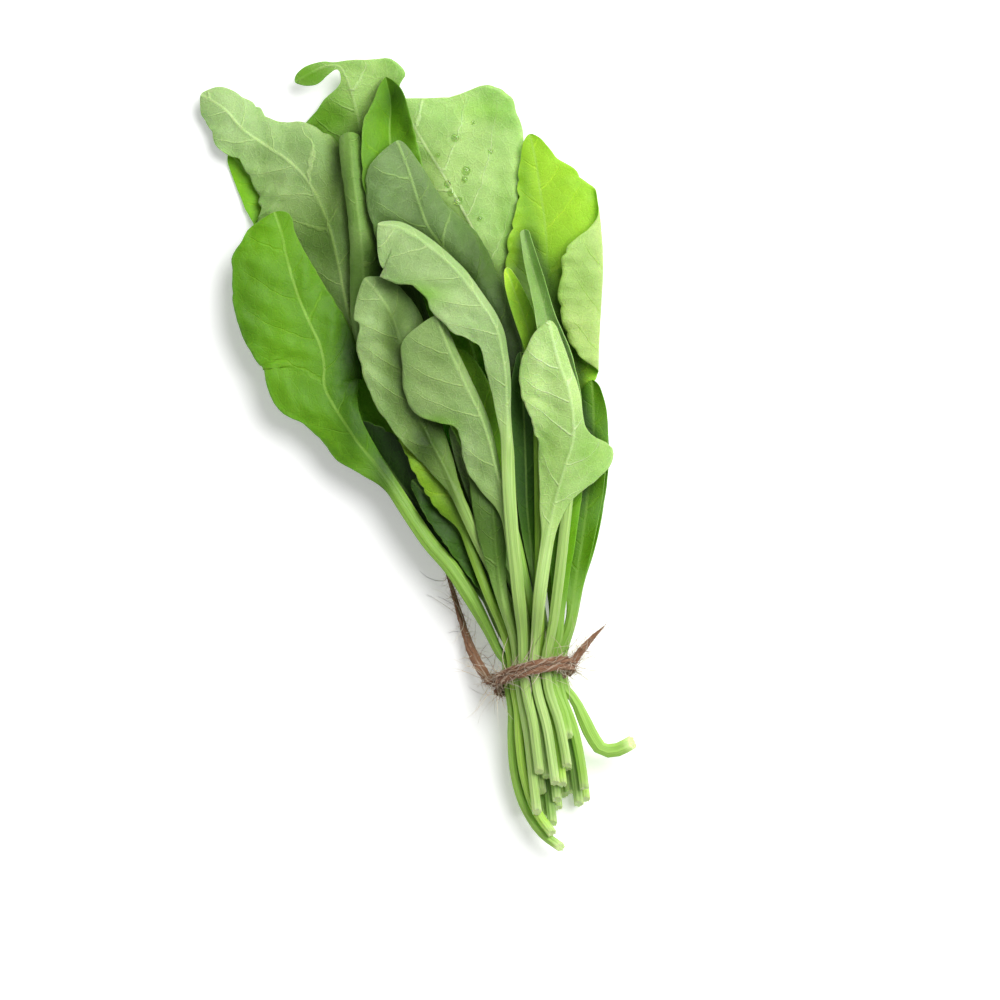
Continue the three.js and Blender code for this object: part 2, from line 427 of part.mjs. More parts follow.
// Rings of points round a leaf, from the cut end to the tip.
// Each ring runs over the top from left to right, then under it from right to left.
function leafRings(leaf) {
  const frames = framesAlong(leafRoute(leaf));
  const total = frames[frames.length - 1].s;
  const base = total - leaf.blade;
  const across = leaf.across || 3;
  const reach = leaf.reach || Array.from({ length: across }, (_, i) => (i + 1) / across);
  const offTie = (f) => Math.abs(f.p.y - TIE_Y);
  const tieAt = frames.reduce((best, f) => (offTie(f) < offTie(best) ? f : best)).s;
  const footRings = leaf.foot ? leaf.foot.length : 3;
  const stalkRings = Math.max(3, Math.round((base - tieAt) / 10));
  const places = [];
  for (let i = 0; i < footRings; i++) places.push(tieAt * i / footRings);
  for (let i = 0; i < stalkRings; i++) places.push(tieAt + (base - tieAt) * i / stalkRings);
  const even = Array.from({ length: leaf.rings }, (_, i) => i / (leaf.rings - 1));
  const shares = even.concat(leaf.extra || []);
  shares.sort((a, b) => a - b).forEach((v) => places.push(base + leaf.blade * v));
  return places.map((s) => {
    const frame = frameAt(frames, s);
    const v = THREE.MathUtils.clamp((s - base) / leaf.blade, 0, 1);
    const open = THREE.MathUtils.smoothstep(s - base, -4, 9);
    const grown = THREE.MathUtils.smoothstep(frame.p.y, TIE_Y + 6, TIE_Y + 22);
    const atCut = THREE.MathUtils.smoothstep(TIE_Y - frame.p.y, 5, 14);
    const stemWidth = lerp(lerp(STEM, leaf.cutWidth || STEM, atCut), leaf.stalk || STEM, grown) / 2;
    const stemHeight = lerp(STEM, Math.min(leaf.stalk || STEM, 2.3), grown) / 2;
    const halves = [0, 1].map((k) => {
      const sign = k ? 1 : -1;
      const width = Math.max(along(k ? leaf.right : leaf.left, v), 0.5);
      const fold = k && leaf.fold && v > 0.02 ? leaf.fold : null;
      const section = halfSection(width, along(leaf.tilt[k], v), along(leaf.curl[k], v), fold, reach);
      return section.map(({ x, z, angle }, i) => {
        const wave = leaf.wave[k] * reach[i] ** 2 * Math.sin(2 * Math.PI * leaf.wave[2] * v + k * 2);
        const turn = Math.PI / 2 * (1 - (i + 1) / (reach.length + 0.5));
        return {
          x: sign * lerp(stemWidth * Math.cos(turn), x, open),
          z: lerp(0, z + wave, open),
          angle: sign * angle * open,
          half: lerp(stemHeight * Math.sin(turn), BLADE / 2, open),
        };
      });
    });
    const rib = { x: 0, z: 0, angle: 0, half: lerp(stemHeight, BLADE / 2 + RIB * (1 - v), open) };
    const row = [...halves[0].reverse(), rib, ...halves[1]];
    const place = (q, sign) => new THREE.Vector3().copy(frame.p)
      .addScaledVector(frame.side, q.x - sign * q.half * Math.sin(q.angle))
      .addScaledVector(frame.up, q.z + sign * q.half * Math.cos(q.angle));
    const ring = [...row.map((q) => place(q, 1)), ...[...row].reverse().map((q) => place(q, -1))];
    return ring;
  });
}

// A raster of heights over the plan, in which the leaves settle on each other
const CELL = 0.5;
const MAP = { x: -60, y: -110, nx: 250, ny: 440 };
const cellOf = (x, y) => {
  const i = Math.floor((x - MAP.x) / CELL);
  const j = Math.floor((y - MAP.y) / CELL);
  return j * MAP.nx + i;
};

// The lowest and highest points of a leaf in each cell, and whether the leaf is there
function shadow(rings) {
  const under = new Float64Array(MAP.nx * MAP.ny).fill(Infinity);
  const over = new Float64Array(MAP.nx * MAP.ny).fill(-Infinity);
  const p = new THREE.Vector3();
  for (let r = 0; r < rings.length - 1; r++) {
    const near = rings[r];
    const far = rings[r + 1];
    const steps = Math.ceil(Math.max(...near.map((q, i) => q.distanceTo(far[i]))) / 0.35);
    for (let i = 0; i < near.length; i++) {
      const k = (i + 1) % near.length;
      const cells = Math.ceil(Math.max(near[i].distanceTo(near[k]), far[i].distanceTo(far[k])) / 0.35);
      for (let a = 0; a <= steps; a++) {
        const left = near[i].clone().lerp(far[i], a / steps);
        const right = near[k].clone().lerp(far[k], a / steps);
        for (let b = 0; b <= cells; b++) {
          p.copy(left).lerp(right, b / cells);
          const c = cellOf(p.x, p.y);
          if (p.z < under[c]) under[c] = p.z;
          if (p.z > over[c]) over[c] = p.z;
        }
      }
    }
  }
  return { under, over };
}

// The least smooth lift that clears what lies below: a cone of set slope round each need, then a blur.
const DRAPE_SLOPE = 0.45;
const DRAPE_RADIUS = 7;

function smoothLift(need) {
  let lift = need;
  for (let step = 64; step >= 1; step /= 2) {
    const last = lift;
    lift = last.slice();
    for (const [dx, dy] of [[1, 0], [-1, 0], [0, 1], [0, -1], [1, 1], [1, -1], [-1, 1], [-1, -1]]) {
      const fall = DRAPE_SLOPE * CELL * step * Math.hypot(dx, dy);
      for (let j = 0; j < MAP.ny; j++) {
        const from = j + dy * step;
        if (from < 0 || from >= MAP.ny) continue;
        for (let i = Math.max(0, -dx * step); i < Math.min(MAP.nx, MAP.nx - dx * step); i++) {
          const value = last[from * MAP.nx + i + dx * step] - fall;
          if (value > lift[j * MAP.nx + i]) lift[j * MAP.nx + i] = value;
        }
      }
    }
  }
  const half = DRAPE_RADIUS;
  lift = slide(lift, half, 1, MAP.nx, Math.max, -Infinity);
  lift = slide(lift, half, MAP.nx, MAP.ny, Math.max, -Infinity);
  for (let k = 0; k < 2; k++) {
    lift = slide(lift, half / 2, 1, MAP.nx, (a, b) => a + b, 0, true);
    lift = slide(lift, half / 2, MAP.nx, MAP.ny, (a, b) => a + b, 0, true);
  }
  return lift;
}

// A window slid along the rows (stride 1) or the columns of the raster
function slide(grid, half, stride, length, join, start, mean = false) {
  const out = new Float64Array(grid.length);
  const reach = Math.floor(half);
  for (let c = 0; c < grid.length; c++) {
    const at = stride === 1 ? c % MAP.nx : Math.floor(c / MAP.nx);
    let value = start;
    let count = 0;
    for (let k = Math.max(-reach, -at); k <= Math.min(reach, length - 1 - at); k++) {
      value = join(value, grid[c + k * stride]);
      count++;
    }
    out[c] = mean ? value / count : value;
  }
  return out;
}

const readMap = (grid, x, y) => {
  const u = (x - MAP.x) / CELL - 0.5;
  const w = (y - MAP.y) / CELL - 0.5;
  const i = Math.floor(u);
  const j = Math.floor(w);
  const at = (a, b) => grid[(j + b) * MAP.nx + i + a];
  return lerp(lerp(at(0, 0), at(1, 0), u - i), lerp(at(0, 1), at(1, 1), u - i), w - j);
};

// Near the tie the stems keep their packed places, so the lift fades out there.
const liftShare = (y) => THREE.MathUtils.smoothstep(y, TIE_Y + 5, TIE_Y + 19);
const GAP = 0.45;

// Leaves are laid one on the other, from the lowest up.
function settle(leaves) {
  const heights = new Float64Array(MAP.nx * MAP.ny).fill(-FLOOR_CUT - GAP);
  return leaves.map((leaf) => {
    const rings = leafRings(leaf);
    if (leaf.floor) {
      const low = Math.min(...rings.flat().filter((p) => liftShare(p.y) === 1).map((p) => p.z));
      rings.flat().forEach((p) => {
        p.z -= (low + FLOOR_CUT) * liftShare(p.y);
      });
    }
    for (let pass = 0; pass < 3; pass++) {
      const { under } = shadow(rings);
      const need = new Float64Array(under.length).fill(0);
      let most = 0;
      for (let c = 0; c < need.length; c++) {
        if (under[c] === Infinity) continue;
        const share = liftShare(MAP.y + (Math.floor(c / MAP.nx) + 0.5) * CELL);
        need[c] = Math.max(0, (heights[c] + GAP - under[c]) * share);
        most = Math.max(most, need[c]);
      }
      if (most < 0.02) break;
      const lift = smoothLift(need);
      rings.flat().forEach((p) => {
        p.z += Math.max(0, readMap(lift, p.x, p.y)) * liftShare(p.y);
      });
    }
    const { over } = shadow(rings);
    over.forEach((z, c) => {
      if (z > heights[c]) heights[c] = z;
    });
    return rings;
  });
}

// A closed loft over rings of points
function loft(rings) {
  const n = rings[0].length;
  const positions = rings.flat().flatMap((p) => [p.x, p.y, p.z]);
  const index = [];
  for (let r = 0; r < rings.length - 1; r++) {
    for (let i = 0; i < n; i++) {
      const k = (i + 1) % n;
      const a = r * n + i;
      const b = r * n + k;
      const under = i >= n / 2;
      if (under) index.push(a, b, a + n, b, b + n, a + n);
      else index.push(a, b, b + n, a, b + n, a + n);
    }
  }
  // The two caps, as strips between the top row and the bottom row
  const cap = (first, flip) => {
    for (let i = 0; i < n / 2 - 1; i++) {
      const quad = [first + i, first + i + 1, first + n - 2 - i, first + n - 1 - i];
      const faces = [[quad[0], quad[2], quad[1]], [quad[0], quad[3], quad[2]]];
      faces.forEach((f) => index.push(...(flip ? f : [f[0], f[2], f[1]])));
    }
  };
  cap(0, true);
  cap((rings.length - 1) * n, false);
  const geometry = new THREE.BufferGeometry();
  geometry.setAttribute('position', new THREE.Float32BufferAttribute(positions, 3));
  geometry.setIndex(index);
  return geometry;
}

// Between three.js geometry and manifold-3d solids
function solidOf(geometry) {
  const plain = new THREE.BufferGeometry();
  plain.setAttribute('position', geometry.getAttribute('position'));
  plain.setIndex(geometry.index);
  const merged = mergeVertices(plain, 1e-4);
  return new wasm.Manifold(new wasm.Mesh({
    numProp: 3,
    vertProperties: merged.getAttribute('position').array,
    triVerts: new Uint32Array(merged.index.array),
  }));
}

function geometryOf(solid) {
  const mesh = solid.getMesh();
  const geometry = new THREE.BufferGeometry();
  geometry.setAttribute('position', new THREE.BufferAttribute(new Float32Array(mesh.vertProperties), 3));
  geometry.setIndex(new THREE.BufferAttribute(new Uint32Array(mesh.triVerts), 1));
  return geometry;
}

const floorBlock = solidOf(new THREE.BoxGeometry(400, 400, 20).translate(0, 0, -10));

// The twine: a band of two turns round the bundle, a knot low on the left, and two ends
function ringOfTwine() {
  const turns = 30;
  const section = 10;
  const rings = [];
  for (let i = 0; i < turns; i++) {
    const a = 2 * Math.PI * i / turns;
    const out = new THREE.Vector3(Math.cos(a) / TIE_HALF_WIDTH, 0, Math.sin(a) / TIE_HALF_HEIGHT).normalize();
    const middle = new THREE.Vector3(
      TIE_X + (TIE_HALF_WIDTH + TWINE / 2) * Math.cos(a),
      TIE_Y + 2.4 * Math.cos(a) + 1.8 * Math.sin(a),
      TIE_MIDDLE_Z + (TIE_HALF_HEIGHT + TWINE / 2) * Math.sin(a));
    const ring = [];
    for (let k = 0; k < section; k++) {
      const b = 2 * Math.PI * k / section;
      ring.push(middle.clone()
        .addScaledVector(out, TWINE / 2 * Math.cos(b))
        .add(new THREE.Vector3(0, TWINE * 0.88 * Math.sin(b), 0)));
    }
    rings.push(ring);
  }
  const positions = rings.flat().flatMap((p) => [p.x, p.y, p.z]);
  const index = [];
  for (let i = 0; i < turns; i++) {
    for (let k = 0; k < section; k++) {
      const a = i * section + k;
      const b = i * section + (k + 1) % section;
      const c = (i + 1) % turns * section + k;
      const d = (i + 1) % turns * section + (k + 1) % section;
      index.push(a, b, d, a, d, c);
    }
  }
  const geometry = new THREE.BufferGeometry();
  geometry.setAttribute('position', new THREE.Float32BufferAttribute(positions, 3));
  geometry.setIndex(index);
  return geometry;
}

function twineEnd(points, radii) {
  const route = points.map((p) => new THREE.Vector3(...p));
  const rings = route.map((p, i) => {
    const before = route[Math.max(i - 1, 0)];
    const ahead = route[Math.min(i + 1, route.length - 1)].clone().sub(before).normalize();
    const side = ahead.clone().cross(new THREE.Vector3(0, 0, 1)).normalize();
    const up = side.clone().cross(ahead);
    return Array.from({ length: 8 }, (_, k) => {
      const b = Math.PI - 2 * Math.PI * (k + 0.5) / 8;
      const out = p.clone().addScaledVector(side, radii[i] * Math.cos(b));
      return out.addScaledVector(up, radii[i] * Math.sin(b));
    });
  });
  return loft(rings);
}

function twineSolid() {
  const knot = new THREE.SphereGeometry(2.4, 10, 8).rotateX(Math.PI / 2).scale(1, 1.5, 1)
    .translate(TIE_X - TIE_HALF_WIDTH - 2.6, TIE_Y - 2.6, 7.4);
  const left = twineEnd(
    [[22.6, -56.6, 7], [19.6, -51.5, 5.6], [17.4, -46, 4.2], [15.6, -40.5, 3], [13.6, -34, 2.1],
      [11.6, -28, 1.6]],
    [1.9, 2.3, 1.9, 1.4, 1.1, 0.8]);
  const right = twineEnd(
    [[42.6, -51.6, 12], [45, -48, 12.2], [48, -44.5, 12.4], [51.3, -41.2, 12.6]],
    [1.1, 1.2, 1.1, 0.45]);
  return [knot, left, right].reduce((all, g) => all.add(solidOf(g)), solidOf(ringOfTwine()));
}

// Assembly: every leaf and the twine, cut flat where they rest, with the origin under the middle
const bunch = new THREE.Group();
bunch.name = 'arugula_bunch';
const finish = (colour, roughness) => new THREE.MeshStandardMaterial({
  color: colour, roughness, metalness: 0,
});

settle(LEAVES).forEach((rings, i) => {
  const solid = solidOf(loft(rings)).subtract(floorBlock);
  const mesh = new THREE.Mesh(geometryOf(solid), finish(LEAVES[i].colour, 0.55));
  mesh.name = LEAVES[i].name;
  bunch.add(mesh);
});
const twine = new THREE.Mesh(geometryOf(twineSolid().subtract(floorBlock)), finish(JUTE, 0.9));
twine.name = 'twine_tie';
bunch.add(twine);

const box = new THREE.Box3().setFromObject(bunch);
const middle = box.getCenter(new THREE.Vector3());
bunch.children.forEach((mesh) => mesh.position.set(-middle.x, -middle.y, -box.min.z));

export default bunch;
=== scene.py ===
# A bunch of arugula tied with jute twine, lying on a pale surface and seen from above.
# Leaves are worked out in millimetres, and their meshes are in metres, with +Y towards the leaf tips.
import math

import bpy
import numpy as np
from bpy.props import FloatProperty, FloatVectorProperty, IntProperty, PointerProperty
from bpy.types import Operator, Panel, PropertyGroup
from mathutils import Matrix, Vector
from mathutils.bvhtree import BVHTree


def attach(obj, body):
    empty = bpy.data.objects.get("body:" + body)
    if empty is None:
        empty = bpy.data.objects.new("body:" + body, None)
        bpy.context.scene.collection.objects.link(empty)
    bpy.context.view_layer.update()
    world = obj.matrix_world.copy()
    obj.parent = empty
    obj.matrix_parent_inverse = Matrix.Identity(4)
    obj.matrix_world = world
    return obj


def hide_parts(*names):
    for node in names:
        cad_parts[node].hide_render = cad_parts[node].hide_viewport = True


bl_info = {
    "name": "Arugula Bunch",
    "version": (1, 0, 0),
    "blender": (4, 5, 0),
    "location": "View3D > Sidebar > Arugula",
    "description": "Builds a tied bunch of arugula leaves, its jute twine and a pale studio round them",
    "category": "Object",
}

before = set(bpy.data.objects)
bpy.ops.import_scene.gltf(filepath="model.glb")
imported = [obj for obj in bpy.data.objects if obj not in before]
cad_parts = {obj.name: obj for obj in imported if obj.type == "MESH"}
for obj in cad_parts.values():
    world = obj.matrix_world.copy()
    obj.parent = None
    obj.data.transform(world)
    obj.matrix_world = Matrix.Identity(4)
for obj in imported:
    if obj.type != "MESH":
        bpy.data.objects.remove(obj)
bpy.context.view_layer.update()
MM = 0.001

# Sizes of a stem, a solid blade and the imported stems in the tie, in millimetres
STEM = 2.5
PITCH = 2.8
ROW_STEP = 2.6
BLADE = 0.85
RIB = 0.5
FLOOR_CUT = 0.25

# The bundle below the tie: places of its middle, its spread there, and how far it sinks
FOOT_AXIS = ((-53.75, 33.75), (-63, 36), (-75, 38), (-90, 39.8), (-99, 40.6))
FOOT_SPREAD = ((-53.75, 1), (-63, 1.12), (-75, 1.26), (-90, 1.28), (-99, 1.25))
FOOT_DROP = 3.6

# The tie
TIE_X = 33.75
TIE_Y = -53.75
FIRST_ROW_Z = 4.7
TIE_MIDDLE_Z = FIRST_ROW_Z + 2.5 * ROW_STEP
TIE_HALF_WIDTH = 8.75
TIE_HALF_HEIGHT = 9.4

# The leaves from the lowest to the top one.
# finish: the colours of the leaf. slot: column and row of the stem in the tie. cut: where the stem is cut.
# foot: the route below the tie, where it isn't the common one. stalk, cutWidth: width of the stem above
# the tie and of its cut end. rib: the midrib in plan, with a height step where a third number stands.
# blade: its length from the tip. rest: the least height of the blade over the floor.
# left, right: half-widths along the blade, seen from the stem, as pairs of a share of its length and mm.
# tilt: how far each half rises from the midrib, in degrees. curl: how far it turns on towards the margin.
# wave: height of the waves at the two margins, and their number. fold: start, radius and angle of a fold.
# across, rings, extra, reach: cells of the solid leaf, on which the leaves settle.
# floor: the leaf lies on the surface.
LEAVES = (
    dict(name="leaf_hidden_middle", finish="bright", slot=(0.5, 0), cut=-85, blade=106, rest=1.2,
         rib=((33, -35), (29.2, -14), (24.4, 6), (19, 25), (13.5, 44), (9.5, 62)),
         left=((0, 1.3), (0.07, 4), (0.2, 10.5), (0.35, 13.5), (0.5, 14.5), (0.7, 15), (0.85, 14), (0.95, 8),
               (1, 2)),
         right=((0, 1.3), (0.07, 3.5), (0.2, 6), (0.35, 8), (0.6, 10), (0.85, 8), (1, 2)),
         tilt=(3, 3), curl=(10, 10), wave=(0.5, 0.5, 3.5), across=2, rings=11, floor=True),
    dict(name="leaf_hidden_west", finish="bright", slot=(-1.5, 0), cut=-84, blade=131, rest=1.2,
         rib=((24.6, -37), (14.5, -16), (3, 4), (-8.5, 24), (-18, 40), (-27, 55.5), (-35.5, 68),
              (-43, 77.5)),
         left=((0, 1.3), (0.06, 1.8), (0.2, 3), (0.36, 7.5), (0.5, 9), (0.8, 7.5), (0.92, 5), (1, 1.5)),
         right=((0, 1.3), (0.06, 2.4), (0.2, 5), (0.38, 8), (0.5, 10), (0.65, 10), (0.82, 9), (0.92, 6),
                (1, 1.5)),
         tilt=(4, 4), curl=(14, 10), wave=(0.7, 0.7, 4), across=2, rings=14, floor=True),
    dict(name="leaf_north_pale", finish="pale", slot=(-0.5, 0), cut=-92, blade=96, rest=1.2,
         rib=((26, -30), (12, 2), (2, 25), (-5, 45), (-8, 60), (-9.6, 76), (-10.6, 86), (-12, 91.5, 1.5),
              (-13.4, 95.6, 2.6), (-15.4, 98.7, 3.4), (-19, 98.6, 3.8), (-22.8, 96.8, 3.4),
              (-26.4, 94.8, 2.6)),
         left=((0, 1.3), (0.3, 9), (0.46, 14), (0.6, 17), (0.7, 17.6), (0.735, 13.6), (0.765, 10.4),
               (0.793, 7.6), (0.815, 3.8), (0.8375, 1.5), (0.876, 0.9), (0.913, 2.6), (0.957, 3.4),
               (1, 1.4)),
         right=((0, 1.3), (0.3, 9), (0.46, 10), (0.63, 9), (0.7, 9), (0.74, 10.5), (0.775, 12.4),
                (0.8, 14.6), (0.835, 12), (0.855, 6), (0.876, 1.2), (0.913, 1.3), (0.957, 2), (1, 1.2)),
         tilt=(-6, -4), curl=(-10, -14), wave=(0.5, 0.4, 2.5), rings=15,
         extra=(0.74, 0.815, 0.8375, 0.876, 0.957), floor=True),
    dict(name="leaf_hidden_east", finish="lime", slot=(1.5, 0), cut=-87, blade=116, rest=1.2,
         rib=((39, -35), (40.8, -12), (41.8, 8), (42, 28), (41.5, 45), (38.5, 61), (34.5, 74)),
         left=((0, 1.3), (0.1, 3), (0.3, 6.5), (0.6, 10), (0.85, 11), (0.95, 8.5), (1, 2)),
         right=((0, 1.3), (0.1, 3), (0.3, 5.5), (0.6, 7), (0.85, 6.5), (1, 2)),
         tilt=(3, 6), curl=(8, 18), wave=(0.5, 0.7, 4), rings=13, floor=True),
    dict(name="leaf_west_outer", finish="sage", slot=(-2, 1), cut=-88, blade=79, rest=5, stalk=3.1,
         rib=((19.6, -30), (5.6, 0), (-6, 22), (-12, 34), (-15.5, 49), (-17, 55.8), (-20, 64.3), (-23.1, 70),
              (-27, 74.3), (-34.5, 79.5), (-39.5, 83), (-44, 88), (-50, 91.8)),
         left=((0, 1.4), (0.12, 6), (0.25, 11), (0.35, 15), (0.47, 17.5), (0.55, 16), (0.62, 13.5),
               (0.7, 10.5), (0.78, 7.2), (0.84, 7.8), (0.9, 6.5), (0.96, 5), (1, 2)),
         right=((0, 1.4), (0.15, 4), (0.3, 5), (0.38, 7), (0.46, 10), (0.54, 12.8), (0.62, 12.6), (0.7, 9.8),
                (0.76, 7), (0.84, 7.5), (0.9, 6), (0.96, 4.5), (1, 2)),
         tilt=(-4, 8), curl=(-12, -50), wave=(0.7, 0.4, 4), across=4, rings=18),
    dict(name="leaf_rolled", finish="sage", slot=(-1, 1), cut=-90, blade=66, rest=8,
         rib=((25, -32), (11.6, -6), (-1, 18), (-8, 33), (-9, 44), (-9.5, 52.5), (-10.4, 61.3),
              (-11.2, 67.5), (-12, 73.8), (-12.8, 82)),
         left=((0, 1.4), (0.2, 5), (0.45, 7), (0.7, 7.4), (0.9, 7.3), (1, 6.4)),
         right=((0, 1.4), (0.2, 5.5), (0.45, 8.5), (0.6, 8.5), (0.7, 7.6), (0.9, 7.3), (1, 6.4)),
         tilt=(((0, -4), (0.3, -10), (1, 0)), ((0, -4), (0.3, -10), (1, 0))),
         curl=(((0, -20), (0.35, -80), (0.7, -150), (1, -150)),
               ((0, -20), (0.35, -50), (0.6, -80), (0.75, -150), (1, -150))),
         wave=(0, 0, 1), across=4, rings=12),
    dict(name="leaf_north_east", finish="pale", slot=(1, 1), cut=-84, blade=60, rest=6, stalk=3,
         rib=((33.5, -30), (30.5, -8), (28.6, 10), (26.4, 30), (23.5, 44), (19.9, 54.3), (15.8, 62.5),
              (11.2, 70.8), (6.5, 78.5), (2.2, 85.8), (-0.6, 90.5)),
         left=((0, 1.4), (0.11, 3), (0.3, 6), (0.46, 8), (0.62, 8), (0.76, 7), (0.88, 5), (1, 2)),
         right=((0, 1.4), (0.11, 3.2), (0.3, 8.5), (0.46, 15.5), (0.62, 22), (0.74, 23.8), (0.81, 23.2),
                (0.85, 21.4), (0.868, 19.6), (0.88, 16.6), (0.89, 11.5), (0.91, 9), (0.947, 5.4), (1, 1.8)),
         tilt=(4, 6), curl=(6, ((0, -6), (0.5, -26), (1, -4))), wave=(0.3, 0.9, 2.5), across=4, rings=13,
         extra=(0.85, 0.87, 0.887)),
    dict(name="leaf_north_cup", finish="bright", slot=(0, 1), cut=-88, blade=54, rest=6,
         rib=((26, -26), (18, 0), (10, 24), (3, 46), (-1, 68), (-2.6, 82), (-2.4, 90), (-3.6, 96)),
         left=((0, 1.3), (0.2, 5), (0.45, 8), (0.65, 7.8), (0.8, 7.4), (0.92, 4.6), (1, 0.8)),
         right=((0, 1.3), (0.2, 5), (0.45, 8), (0.65, 7.5), (0.8, 7.4), (0.92, 5), (1, 0.8)),
         tilt=(((0, 4), (0.6, 10), (0.85, 32), (1, 30)), ((0, 4), (0.6, 8), (0.85, 40), (1, 34))),
         curl=(10, 16), wave=(0.3, 0.4, 2), rings=12),
    dict(name="leaf_east_folded", finish="lime", slot=(2, 1), cut=-86, blade=80, rest=6, stalk=3,
         rib=((39.5, -34), (39.6, -22), (38.8, -10), (37, 8), (35.8, 25), (36.3, 37.8), (36.8, 47.8),
              (36.3, 59.3), (35.3, 66.3), (34, 75), (32.5, 81.8)),
         left=((0, 1.4), (0.2, 5), (0.4, 9), (0.6, 10.5), (0.71, 9), (0.78, 6.5), (0.86, 5.5), (0.93, 3.8),
               (1, 1.5)),
         right=((0, 1.4), (0.1, 5.5), (0.2, 12), (0.26, 17), (0.32, 22), (0.44, 26), (0.565, 26.5),
                (0.63, 25), (0.68, 20), (0.72, 16), (0.79, 14.5), (0.83, 11.7), (0.87, 9.4), (0.92, 5.2),
                (1, 1.6)),
         tilt=(4, 5), curl=(8, 0), wave=(0.6, 0.5, 3), fold=(12.4, 1.5, 168), across=4, rings=17,
         reach=(0.3, 0.47, 0.56, 0.66, 1)),
    dict(name="leaf_bent_stem", finish="bright", slot=(2.5, 2), blade=48, rest=4, cutWidth=3.6,
         foot=((43.6, -60), (46.2, -65.5), (48.6, -70.2), (50.6, -72.6), (53.6, -72.8), (58.7, -70.4)),
         rib=((43, -40), (46, -22), (48, -5), (48.8, 6), (48.2, 15)),
         left=((0, 1.4), (0.2, 3.4), (0.35, 4.8), (0.6, 7), (0.87, 6), (1, 2)),
         right=((0, 1.4), (0.25, 3), (0.55, 4), (0.85, 3.4), (1, 1.6)),
         tilt=(4, 8), curl=(8, 20), wave=(0.5, 0.8, 3), rings=9),
    dict(name="leaf_centre_back", finish="dark", slot=(0.5, 2), cut=-80, blade=77, rest=13, stalk=3,
         rib=((32.8, -40), (30.6, -20), (29, -2), (27.4, 14), (25.6, 28), (22.8, 36.5), (18.6, 43.4),
              (13.8, 49.5), (11, 53), (7.25, 58.1), (4.5, 65.2), (2.65, 71.1), (0.75, 76.2), (-0.75, 79.75)),
         left=((0, 1.3), (0.1, 3), (0.24, 5), (0.36, 6.6), (0.46, 8), (0.56, 10), (0.63, 12), (0.7, 13),
               (0.8, 13), (0.88, 11.8), (0.93, 10.6), (0.96, 9.6), (0.985, 7.6), (1, 4.5)),
         right=((0, 1.3), (0.1, 3), (0.24, 5.5), (0.36, 6.6), (0.46, 8.5), (0.56, 10.8), (0.63, 10.8),
                (0.7, 9.2), (0.8, 6.2), (0.88, 4.2), (0.95, 2.6), (1, 2.4)),
         tilt=(4, ((0, 10), (0.5, 28), (1, 12))), curl=(-18, ((0, -30), (0.5, -105), (1, -60))),
         wave=(0.3, 0.2, 3), across=4, rings=15),
    dict(name="leaf_dark_fold", finish="dark", slot=(-1.5, 2), cut=-84.5, blade=56, rest=9,
         rib=((25.4, -43), (20.2, -32), (13.4, -22), (6.4, -13.5), (0.2, -6), (-4.6, 0.5), (-8.8, 5.5),
              (-12, 9.3)),
         left=((0, 1.3), (0.08, 2.8), (0.2, 3.8), (0.35, 4), (0.5, 3.6), (0.8, 3.8), (1, 1.6)),
         right=((0, 1.3), (0.1, 2.2), (0.3, 3), (0.45, 3.6), (0.58, 5), (0.72, 7.2), (0.86, 6.8), (0.95, 4),
                (1, 1.5)),
         tilt=(6, 18), curl=(0, 20), wave=(0, 0.8, 2), rings=9),
    dict(name="leaf_west_front", finish="bright", slot=(-2.5, 2),
         foot=((28, -62), (28, -70), (28.6, -78), (31.2, -87), (35.6, -93.6), (41, -97.6)),
         blade=77, rest=11, stalk=4,
         rib=((25.4, -49), (22, -42.5), (17.5, -34.3), (12.3, -26.5), (7.5, -21), (3, -14.5), (-2, -6.8),
              (-7, 0), (-11, 5), (-14.3, 10), (-17, 14.3), (-18.8, 18), (-19.1, 24.5), (-19.9, 28.3),
              (-22.5, 34), (-25.3, 40.5), (-28.3, 50.5), (-29.8, 57.3), (-31.4, 62)),
         left=((0, 1.9), (0.11, 4.7), (0.2, 7), (0.28, 7.6), (0.337, 9.2), (0.365, 10.6), (0.39, 12.8),
               (0.43, 14.8), (0.476, 15.4), (0.535, 15.8), (0.65, 16.8), (0.75, 16.2), (0.834, 14.5),
               (0.88, 13.4), (0.925, 11.2), (0.97, 8.4), (1, 4)),
         right=((0, 1.9), (0.11, 2.5), (0.19, 3.5), (0.27, 4.6), (0.337, 7.4), (0.39, 9.6), (0.476, 9.6),
                (0.55, 9), (0.65, 8.2), (0.75, 6.8), (0.834, 5.2), (0.925, 3.3), (0.96, 3.6), (1, 3)),
         tilt=(4, ((0, 4), (0.4, -8), (1, 4))), curl=(-14, -10), wave=(0.4, 0.4, 3), across=4, rings=17),
    dict(name="leaf_dark_wavy", finish="dark", slot=(-0.5, 2), cut=-92, blade=42, rest=11,
         rib=((29, -44), (24.6, -34), (19.4, -25), (13.4, -16.6), (7.6, -10), (3, -5)),
         left=((0, 1.3), (0.3, 4.4), (0.7, 4.6), (1, 1.2)),
         right=((0, 1.3), (0.3, 4), (0.65, 5), (0.9, 3), (1, 1.2)),
         tilt=(14, 4), curl=(20, 10), wave=(0.8, 0.6, 4), rings=9),
    dict(name="leaf_dark_strip", finish="dark", slot=(1.5, 2), cut=-87, blade=58, rest=12,
         rib=((36, -42), (33.4, -26), (31.8, -12), (31.4, 0), (30.8, 14), (30.2, 27)),
         left=((0, 1.2), (0.3, 2.4), (0.6, 3.4), (0.85, 3.2), (1, 1)),
         right=((0, 1.2), (0.3, 2.4), (0.7, 3), (1, 1)),
         tilt=(20, 20), curl=(10, 10), wave=(0.2, 0.2, 2), across=2, rings=9),
    dict(name="leaf_bright_edge", finish="lime", slot=(-2, 3),
         foot=((29.5, -62), (29.9, -70), (31.1, -79), (34.2, -88), (38.4, -94)),
         blade=34, rest=14,
